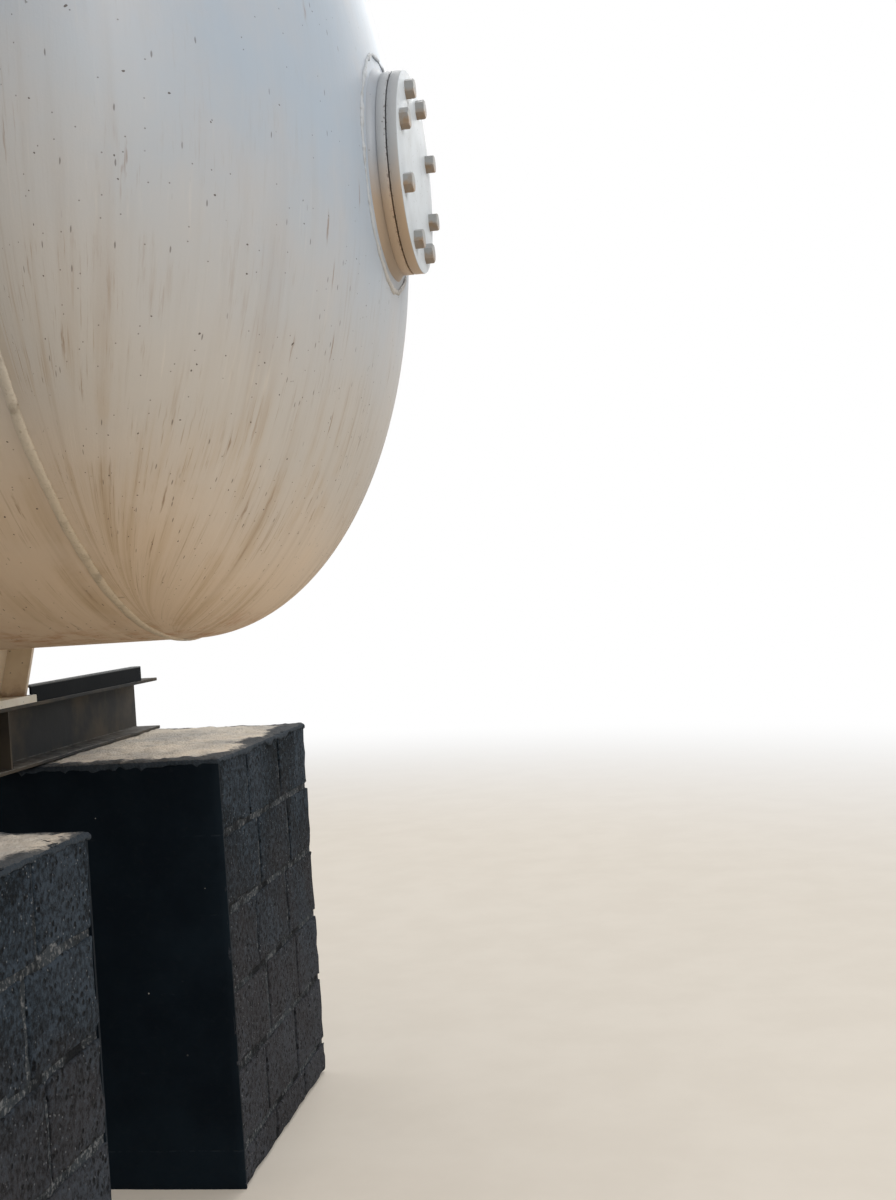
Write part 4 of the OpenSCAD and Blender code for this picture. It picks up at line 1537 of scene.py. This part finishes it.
@dataclass
class Supports:
    """Saddles and beams at both ends."""

    sizes: Sizes
    fillet: float = 0.009
    wear_plate: float = 0.012
    lean: float = 0.8
    curve_steps: int = 160
    edge_steps: int = 60
    foot_steps: int = 180
    foot_width: float = 0.016
    foot_height: float = 0.007
    foot_inset: float = 0.07

    def wear_weld(self, end: str) -> Surface:
        """Fillet welds along the two curved edges and the two straight edges of a wear plate.

        Args:
            end: Front or rear.

        Returns:
            The surface.
        """
        s = self.sizes
        x0, x1 = span(f"saddle_{end}_wear_plate", 0)
        y1 = span(f"saddle_{end}_wear_plate", 1)[1]
        half = math.asin(y1 / (s.radius + self.wear_plate))
        r = s.radius + 0.002
        shift = 0.3 * self.fillet
        turn = np.linspace(-half, half, self.curve_steps)
        x = np.linspace(x0, x1, self.edge_steps)
        seams = []
        for place, lean in ((x0, -self.lean), (x1, self.lean)):
            path = spread(place + shift * np.sign(lean), r * np.sin(turn),
                          s.axis_z - r * np.cos(turn))
            seams.append((path, spread(lean, np.sin(turn), -np.cos(turn))))
        for side, a in ((-1.0, -half), (1.0, half)):
            far = a + shift / r * side
            path = spread(x, r * math.sin(far), s.axis_z - r * math.cos(far))
            lean_y, lean_z = (self.lean * side * part for part in (math.cos(a), math.sin(a)))
            out = spread(np.zeros(len(x)), math.sin(a) + lean_y, lean_z - math.cos(a))
            seams.append((path, out))
        width, height = 2.0 * self.fillet, self.fillet
        return Surface.join(weld_bead(path, unit(out), width, height, seed, lump=0.2)
                            for seed, (path, out) in zip((51, 52, 61, 62), seams))

    def base_weld(self, end: str) -> Surface:
        """Fillet welds along both sides of the web where it stands on the base plate.

        Args:
            end: Front or rear.

        Returns:
            The surface.
        """
        x0, x1 = span(f"saddle_{end}_web", 0)
        z = span(f"saddle_{end}_base", 2)[1]
        reach = span(f"saddle_{end}_base", 1)[1] - self.foot_inset
        y = np.linspace(-reach, reach, self.foot_steps)
        parts = []
        for seed, x, side in ((71, x0, -1.0), (72, x1, 1.0)):
            out = np.tile(np.array([side, 0.0, 1.0]) / math.sqrt(2.0), (len(y), 1))
            path = spread(x + side * 0.001, y, z + 0.001)
            parts.append(weld_bead(path, out, self.foot_width, self.foot_height, seed, lump=0.25))
        return Surface.join(parts)

    def build(self) -> None:
        """Makes and dresses saddles and beams."""
        for end in ("front", "rear"):
            foot = span(f"saddle_{end}_base", 2)[0]
            paint = WhitePaint(f"saddle_paint_{end}", clean=srgb(222, 208, 186),
                               film=srgb(196, 174, 146), rust_top=foot + 0.055,
                               rust_foot=foot + 0.005).build()
            plate = WhitePaint(f"base_paint_{end}", clean=srgb(226, 221, 208),
                               film=srgb(206, 196, 176), rust_top=foot - 0.010,
                               rust_foot=foot - 0.06).build()
            for name in ("wear_plate", "web", "ribs"):
                softened_copy(f"saddle_{end}_{name}", paint, 0.0016)
            softened_copy(f"saddle_{end}_base", plate, 0.002)
            weld = BeadPaint(f"saddle_weld_paint_{end}", srgb(196, 186, 168), srgb(126, 92, 60),
                             self.sizes.axis_z, self.sizes.radius).build()
            for name, seam in (("wear_plate_weld_", self.wear_weld(end)),
                               ("saddle_foot_weld_", self.base_weld(end))):
                settle(seam.to_object(name + end, weld))
            navy = NavyPaint(f"beam_paint_{end}", foot_z=span(f"beam_{end}", 2)[0]).build()
            stop_y, stop_z = span(f"beam_{end}_channel", 1)[1], span(f"beam_{end}_channel", 2)[1]
            softened_copy(f"beam_{end}", navy, 0.0025)
            softened_copy(f"beam_{end}_stiffeners", navy, 0.0015)
            # The channel's paint is a near-black copy of the navy paint: painted shade under the
            # tank, with a painted highlight in the worn colour along its top edge and end.
            stop = NavyPaint(f"channel_paint_shaded_{end}", base=srgb(3, 9, 15), dust=srgb(12, 18, 24),
                             worn=srgb(150, 154, 156), foot_z=-1.0, highlight_top_z=stop_z, highlight_end_y=stop_y,
                             specular=0.1).build()
            softened_copy(f"beam_{end}_channel", stop, 0.002)
            log.info("support %s: saddle, beam, channel", end)


@dataclass
class Masonry:
    """Block walls under both ends, with their render, joints and rough mortar tops."""

    course: float = 0.2475
    block: float = 0.600
    depth: float = 0.300
    joint: float = 0.017
    skin: float = 0.004
    buried: float = 0.012
    inset: Tuple[float, float, float] = (0.0055, 0.0055, 0.006)
    hang: int = 4
    floor_share: float = 0.985
    cap_steps: Tuple[int, int] = (156, 130)
    coat_steps: int = 110
    core_steps: int = 50
    bed_steps: Tuple[int, int, int] = (40, 40, 7)
    seeds: Dict[str, int] = field(default_factory=lambda: {
        "far_wall_front": 101, "near_wall_front": 151, "far_wall_rear": 201, "near_wall_rear": 251})

    def row(self, start: float, end: float, flush: Tuple[bool, bool]) -> List[Tuple[float, float]]:
        """Places of a course's blocks from start to end.

        Args:
            start: Where the row starts.
            end: Where it ends, which may be lower.
            flush: Whether the row's two ends lie in a face of the wall, and so have no joint.

        Returns:
            The lower and upper end of each block.
        """
        length, sign = abs(end - start), 1.0 if end > start else -1.0
        edges = [0.0]
        while edges[-1] + self.block < length - 0.5 * self.block:
            edges.append(edges[-1] + self.block)
        if length - edges[-1] > self.block:
            edges.append(0.5 * (edges[-1] + length))
        edges.append(length)
        gap = 0.5 * self.joint
        places = []
        for k, (a, b) in enumerate(zip(edges[:-1], edges[1:])):
            a = a if k == 0 and flush[0] else a + gap
            b = b if k == len(edges) - 2 and flush[1] else b - gap
            lower, upper = sorted((start + sign * a, start + sign * b))
            places.append((lower, upper))
        return places

    def blocks(self, low: Array, high: Array, bare_side: float) -> Tuple[Array, Array]:
        """Centres and half sizes of every block in the outer ring of a wall.

        Courses count down from the top. In even courses the blocks along X reach the corners by the
        render and the blocks along Y reach the other ones; in odd courses it is the other way
        round.

        Args:
            low: The wall's lowest corner.
            high: The wall's highest corner.
            bare_side: 1 or -1, the side along Y that has render instead of bare blocks.

        Returns:
            Arrays of centres and of half sizes.
        """
        centres, halves = [], []
        near, far = (low[1], high[1]) if bare_side < 0.0 else (high[1], low[1])
        inward = self.depth if far > near else -self.depth
        top = high[2]
        level = 0
        while top > 0.03:
            foot = max(top - self.course, 0.0)
            even = level % 2 == 0
            z = 0.5 * (top + foot)
            h = 0.5 * (top - foot) - 0.5 * self.joint
            start = near + inward if even else near
            end = far if even else far - inward
            for a, b in self.row(start, end, (not even, even)):
                for x in (low[0] + 0.5 * self.depth, high[0] - 0.5 * self.depth):
                    centres.append([x, 0.5 * (a + b), z])
                    halves.append([0.5 * self.depth, 0.5 * (b - a), h])
            for y, whole in ((near + 0.5 * inward, even), (far - 0.5 * inward, not even)):
                x0, x1 = (low[0], high[0]) if whole else (low[0] + self.depth, high[0] - self.depth)
                for a, b in self.row(x0, x1, (whole, whole)):
                    centres.append([0.5 * (a + b), y, z])
                    halves.append([0.5 * (b - a), 0.5 * self.depth, h])
            top = foot
            level += 1
        return np.array(centres), np.array(halves)

    def cap(self, low: Array, high: Array, seed: int) -> Surface:
        """Rough mortar bed on a wall's top.

        The grid runs over the top and hangs over each side by a length that noise sets. Height is
        the sum of two noises and falls off at the rim, where the sheet turns down and stands a
        little off the wall.

        Args:
            low: The wall's lowest corner.
            high: The wall's highest corner.
            seed: Which noise.

        Returns:
            The sheet, closed underneath.
        """
        hang = self.hang
        lines, folds, sides = [], [], []
        for axis, count in enumerate(self.cap_steps):
            ends = np.repeat([low[axis], high[axis]], hang)
            middle = np.linspace(low[axis], high[axis], count)
            line = np.concatenate([ends[:hang], middle, ends[hang:]])
            rank = np.arange(len(line))
            lines.append(line)
            folds.append(np.clip(hang - np.minimum(rank, rank[::-1]), 0, hang) / hang)
            sides.append((line >= high[axis] - 1e-6).astype(float) - (line <= low[axis] + 1e-6))
        px, py = np.meshgrid(*lines, indexing="ij")
        fold = np.maximum(folds[0][:, None], folds[1][None, :])
        flat = spread(px, py, 0.0)
        broad, fine = rough_noise(flat, 5.0, seed, 3), rough_noise(flat, 34.0, seed + 9, 3)
        edge = np.minimum(np.minimum(px - low[0], high[0] - px),
                          np.minimum(py - low[1], high[1] - py))
        height = 0.005 * broad + 0.006 * fine - 0.007 * np.exp(-edge / 0.010)
        crumb = value_noise(flat, 55.0, seed + 6)
        sag = np.clip(value_noise(flat, 11.0, seed + 3) - 0.2, 0.0, 1.0)
        drop = 0.006 + 0.020 * sag + 0.014 * crumb ** 2
        off = (0.0005 + 0.006 * crumb) * np.sin(np.clip(fold, 0.0, 1.0) * math.pi * 0.85)
        points = spread(px + sides[0][:, None] * off, py + sides[1][None, :] * off,
                        high[2] - 0.003 + height - drop * fold)
        loop = border(points)
        middle = 0.5 * (low + high)[:2]
        inner = np.column_stack([middle + (loop[:, :2] - middle) * self.floor_share, loop[:, 2]])
        skirt = Surface.grid(np.stack([loop, inner]), wrap_v=True)
        floor = Surface.fan(inner, np.array([*middle, inner[:, 2].mean()]))
        return Surface.join([Surface.grid(points), skirt, floor])

    def render(self, low: Array, high: Array, side: float, seed: int) -> Surface:
        """Trowelled coat on the wall's end: a wavy sheet with thickness, ragged along its top.

        Args:
            low: The wall's lowest corner.
            high: The wall's highest corner.
            side: 1 or -1, the side along Y.
            seed: Which noise.

        Returns:
            The surface.
        """
        x = np.linspace(low[0] + 0.002, high[0] - 0.002, self.coat_steps)
        px, pz = np.meshgrid(x, np.linspace(0.0, 1.0, self.coat_steps), indexing="ij")
        flat = spread(px, 0.0, pz * high[2])
        top = high[2] - 0.008 - 0.016 * value_noise(spread(px, 0.0, 0.0), 16.0, seed)
        pz = pz * top
        face = low[1] if side < 0 else high[1]
        broad, fine = rough_noise(flat, 3.0, seed + 1, 3), rough_noise(flat, 40.0, seed + 2, 2)
        out = self.skin + (0.0035 * broad + 0.0008 * fine)
        edge = np.minimum(np.minimum(px - x[0], x[-1] - px), np.minimum(pz, top - pz))
        out = out - 0.006 * np.exp(-edge / 0.006)
        front = spread(px, face + side * out, pz)
        back = border(spread(px, face - side * self.buried, pz))
        rim = Surface.grid(np.stack([border(front), back]), wrap_v=True)
        return Surface.join([Surface.grid(front), rim, Surface.fan(back, back.mean(axis=0))])

    def wall(self, node: str, finishes: Dict[str, bpy.types.Material]) -> None:
        """Makes one wall from its blocks, joints, render and top.

        Args:
            node: The wall's name.
            finishes: Materials of blocks, joints and render.
        """
        low, high = extent(node)
        seed = self.seeds[node]
        far = node.startswith("far")
        bare = -1.0 if far else 1.0
        centres, halves = self.blocks(low, high, bare)
        fine, few = (np.array([-v for v in half[::-1]] + [0.0] + half)
                     for half in ([0.3, 0.6, 0.88, 0.965, 1.0], [0.4, 0.82, 0.95, 1.0]))
        body = soft_boxes(centres, halves, (fine, fine, few), 0.006, 0.0026, 0.030, seed)
        settle(body.to_object(node + "_blocks", finishes["block"], merge=1e-6), [node])
        half = (0.5 * (high - low) - self.inset)[None, :]
        lines = (np.linspace(-1.0, 1.0, self.core_steps),) * 3
        core = soft_boxes(0.5 * (low + high)[None, :], half, lines, 0.004, 0.005, 0.0, seed + 60)
        coat = self.render(low, high, bare, seed + 70)
        top = self.cap(low, high, seed + 80)
        sand = SandyMortar(node + "_top_mortar", tuple(low), tuple(high),
                           rim=0.055 if far else 0.030).build()
        settle(core.to_object(node + "_joints", finishes["joint"]))
        settle(sharpen(coat.to_object(node + "_render", finishes["render"]), 50.0))
        settle(top.to_object(node + "_top", sand))
        log.info("wall %s: %d blocks", node, len(centres))

    def build(self) -> None:
        """Makes the four walls and their mortar beds."""
        finishes = {"block": BlockPaint("block_paint").build(),
                    "joint": JointMortar("joint_mortar").build()}
        for node in self.seeds:
            top = span(node, 2)[1]
            finishes["render"] = BlackRender(node + "_black", top, self.course).build()
            self.wall(node, finishes)
        for end in ("front", "rear"):
            low, high = extent("mortar_bed_" + end)
            lines = [np.linspace(-1.0, 1.0, count) for count in self.bed_steps]
            centre, half = 0.5 * (low + high)[None, :], 0.5 * (high - low)[None, :]
            bed = soft_boxes(centre, half, lines, 0.008, 0.005, 0.02, 300)
            sand = SandyMortar(f"bed_mortar_{end}", tuple(low), tuple(high)).build()
            settle(bed.to_object(f"mortar_bed_{end}_rough", sand), ["mortar_bed_" + end])


@dataclass
class Fittings:
    """Bottom outlet with its valve, top nozzles, relief valve and lifting lugs."""

    def build(self) -> None:
        """Dresses the fittings, with their edges rounded."""
        pipe = WeatheredPaint("weathered_pipe_paint").build()
        white = WhitePaint("fitting_paint").build()
        for node in ("outlet_nozzle", "outlet_valve", "outlet_valve_bonnet", "outlet_drop_pipe",
                     "relief_valve"):
            softened_copy(node, pipe, 0.0012)
        for node in ("relief_nozzle", "vapour_nozzle", "lifting_lugs"):
            softened_copy(node, white, 0.0015)
        softened_copy("outlet_valve_lever", DullSteel("lever_steel").build(), 0.0015)
        dress("outlet_bolts", DullSteel("pipe_bolt_steel", base=srgb(128, 118, 104)).build())
        log.info("fittings: outlet, relief valve, nozzles, lugs")


# ---------------------------------------------------------------- studio


@dataclass
class Studio:
    """Pale floor, soft lights, white surround and the camera."""

    sizes: Sizes
    floor_colour: Colour = srgb(226, 217, 204)
    floor_patch: Colour = srgb(214, 204, 190)
    eye: Tuple[float, float, float] = (1.2824, -3.711, -1.1077)
    yaw: float = 8.588
    pitch: float = -0.487
    roll: float = -0.0647
    lens: float = 42.17
    reach: float = 60.0
    white: Colour = (1.0, 1.0, 1.0)
    sky: Colour = (0.93, 0.96, 1.0)
    sky_strength: float = 0.60

    def floor(self) -> None:
        """A wide pale floor at ground level."""
        u = np.linspace(-self.reach, self.reach, 3)
        px, py = np.meshgrid(u, u, indexing="ij")
        g = Graph("studio_floor")
        g.ground(g.noise(3.0, 4.0, 0.6).step(0.3, 0.7) * 0.3, self.floor_colour, self.floor_patch)
        material = g.finish(0.9, specular=0.1)
        far = ((g.x * g.x + g.y * g.y) ** 0.5).step(6.5, 15.0)
        seen = g.value("ShaderNodeLightPath", output="Is Camera Ray")
        white = g.value("ShaderNodeEmission", {}, {"Color": self.white, "Strength": 1.0})
        plain = Value(g, g.shader.outputs[0])
        g.fill(g.end, [g.value("ShaderNodeMixShader", {}, [far * seen, plain, white])])
        sheet = Surface.grid(spread(px, py, 0.0))
        sheet.to_object("studio_floor", material, smooth=False)

    def world(self) -> None:
        """Grey-white light from all round, seen as plain white."""
        world = bpy.data.worlds.new("studio_world")
        bpy.context.scene.world = world
        world.use_nodes = True
        tree = Tree(world.node_tree)
        path = tree.node("ShaderNodeLightPath")
        camera, glossy, through = (Value(tree, path.outputs[f"Is {ray} Ray"])
                                   for ray in ("Camera", "Glossy", "Transmission"))
        light = tree.value("ShaderNodeBackground", {}, [self.sky, self.sky_strength])
        plain = tree.value("ShaderNodeBackground", {}, [self.white, 1.0])
        seen = camera.at_least(glossy).at_least(through)
        mixed = tree.value("ShaderNodeMixShader", {}, [seen, light, plain])
        tree.node("ShaderNodeOutputWorld", {}, [mixed])

    @staticmethod
    def stand(name: str, data: bpy.types.ID, axes: Sequence[Array],
              place: Sequence[float]) -> bpy.types.Object:
        """Puts a lamp or camera in the scene.

        Args:
            name: The object's name.
            data: The lamp or camera.
            axes: Directions of its three axes.
            place: Where it stands.

        Returns:
            The object.
        """
        thing = link(name, data)
        rows = np.column_stack([*axes, place]).tolist()
        thing.matrix_world = Matrix(rows + [[0.0, 0.0, 0.0, 1.0]])
        return thing

    def lamp(self, name: str, place: Sequence[float], aim: Sequence[float], size: float,
             power: float, colour: Colour) -> None:
        """A square soft light at a place, turned to a point.

        Args:
            name: The lamp's name.
            place: Where it stands.
            aim: The point it is turned to.
            size: Length of its side.
            power: Watts.
            colour: The light's colour.
        """
        data = bpy.data.lights.new(name, "AREA")
        data.size = size
        data.energy = power
        data.color = colour
        forward = unit(np.array(aim) - np.array(place))
        right = unit(np.cross(forward, np.array([0.0, 0.0, 1.0])))
        self.stand(name, data, (right, np.cross(right, forward), -forward), place)

    def camera(self) -> None:
        """The camera of the fitted view: turned left of +Y by the yaw, with a small roll."""
        s = self.sizes
        data = bpy.data.cameras.new("camera")
        data.sensor_width = 36.0
        data.sensor_fit = "AUTO"
        data.lens = self.lens
        data.clip_end = 300.0
        yaw, pitch = math.radians(self.yaw), math.radians(self.pitch)
        right = np.array([math.cos(yaw), math.sin(yaw), 0.0])
        level = math.cos(pitch)
        forward = np.array([-math.sin(yaw) * level, math.cos(yaw) * level, math.sin(pitch)])
        up = np.cross(right, forward)
        c, k = math.cos(math.atan(self.roll)), math.sin(math.atan(self.roll))
        place = (s.seam_front + self.eye[0], self.eye[1], s.axis_z + self.eye[2])
        axes = (c * right + k * up, c * up - k * right, -forward)
        bpy.context.scene.camera = self.stand("camera", data, axes, place)

    def build(self) -> None:
        """Sets up the whole studio."""
        self.floor()
        self.world()
        self.lamp("key", (13.0, -5.0, 8.0), (3.0, 0.0, 2.2), 6.0, 760.0, (1.0, 0.985, 0.96))
        self.lamp("fill", (-6.0, -9.0, 6.0), (0.0, 0.0, 2.5), 7.0, 90.0, (0.95, 0.97, 1.0))
        self.lamp("back", (4.0, 9.5, 9.0), (0.0, 0.0, 2.8), 6.0, 420.0, (1.0, 0.99, 0.97))
        self.camera()
        bpy.context.scene.view_settings.view_transform = "Standard"
        log.info("studio: floor, lights, camera")


def main() -> None:
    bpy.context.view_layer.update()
    sizes = Sizes()
    Studio(sizes).build()
    Vessel(sizes).build()
    Manway(sizes).build()
    Supports(sizes).build()
    Masonry().build()
    Fittings().build()


if __name__ == "__main__":
    main()
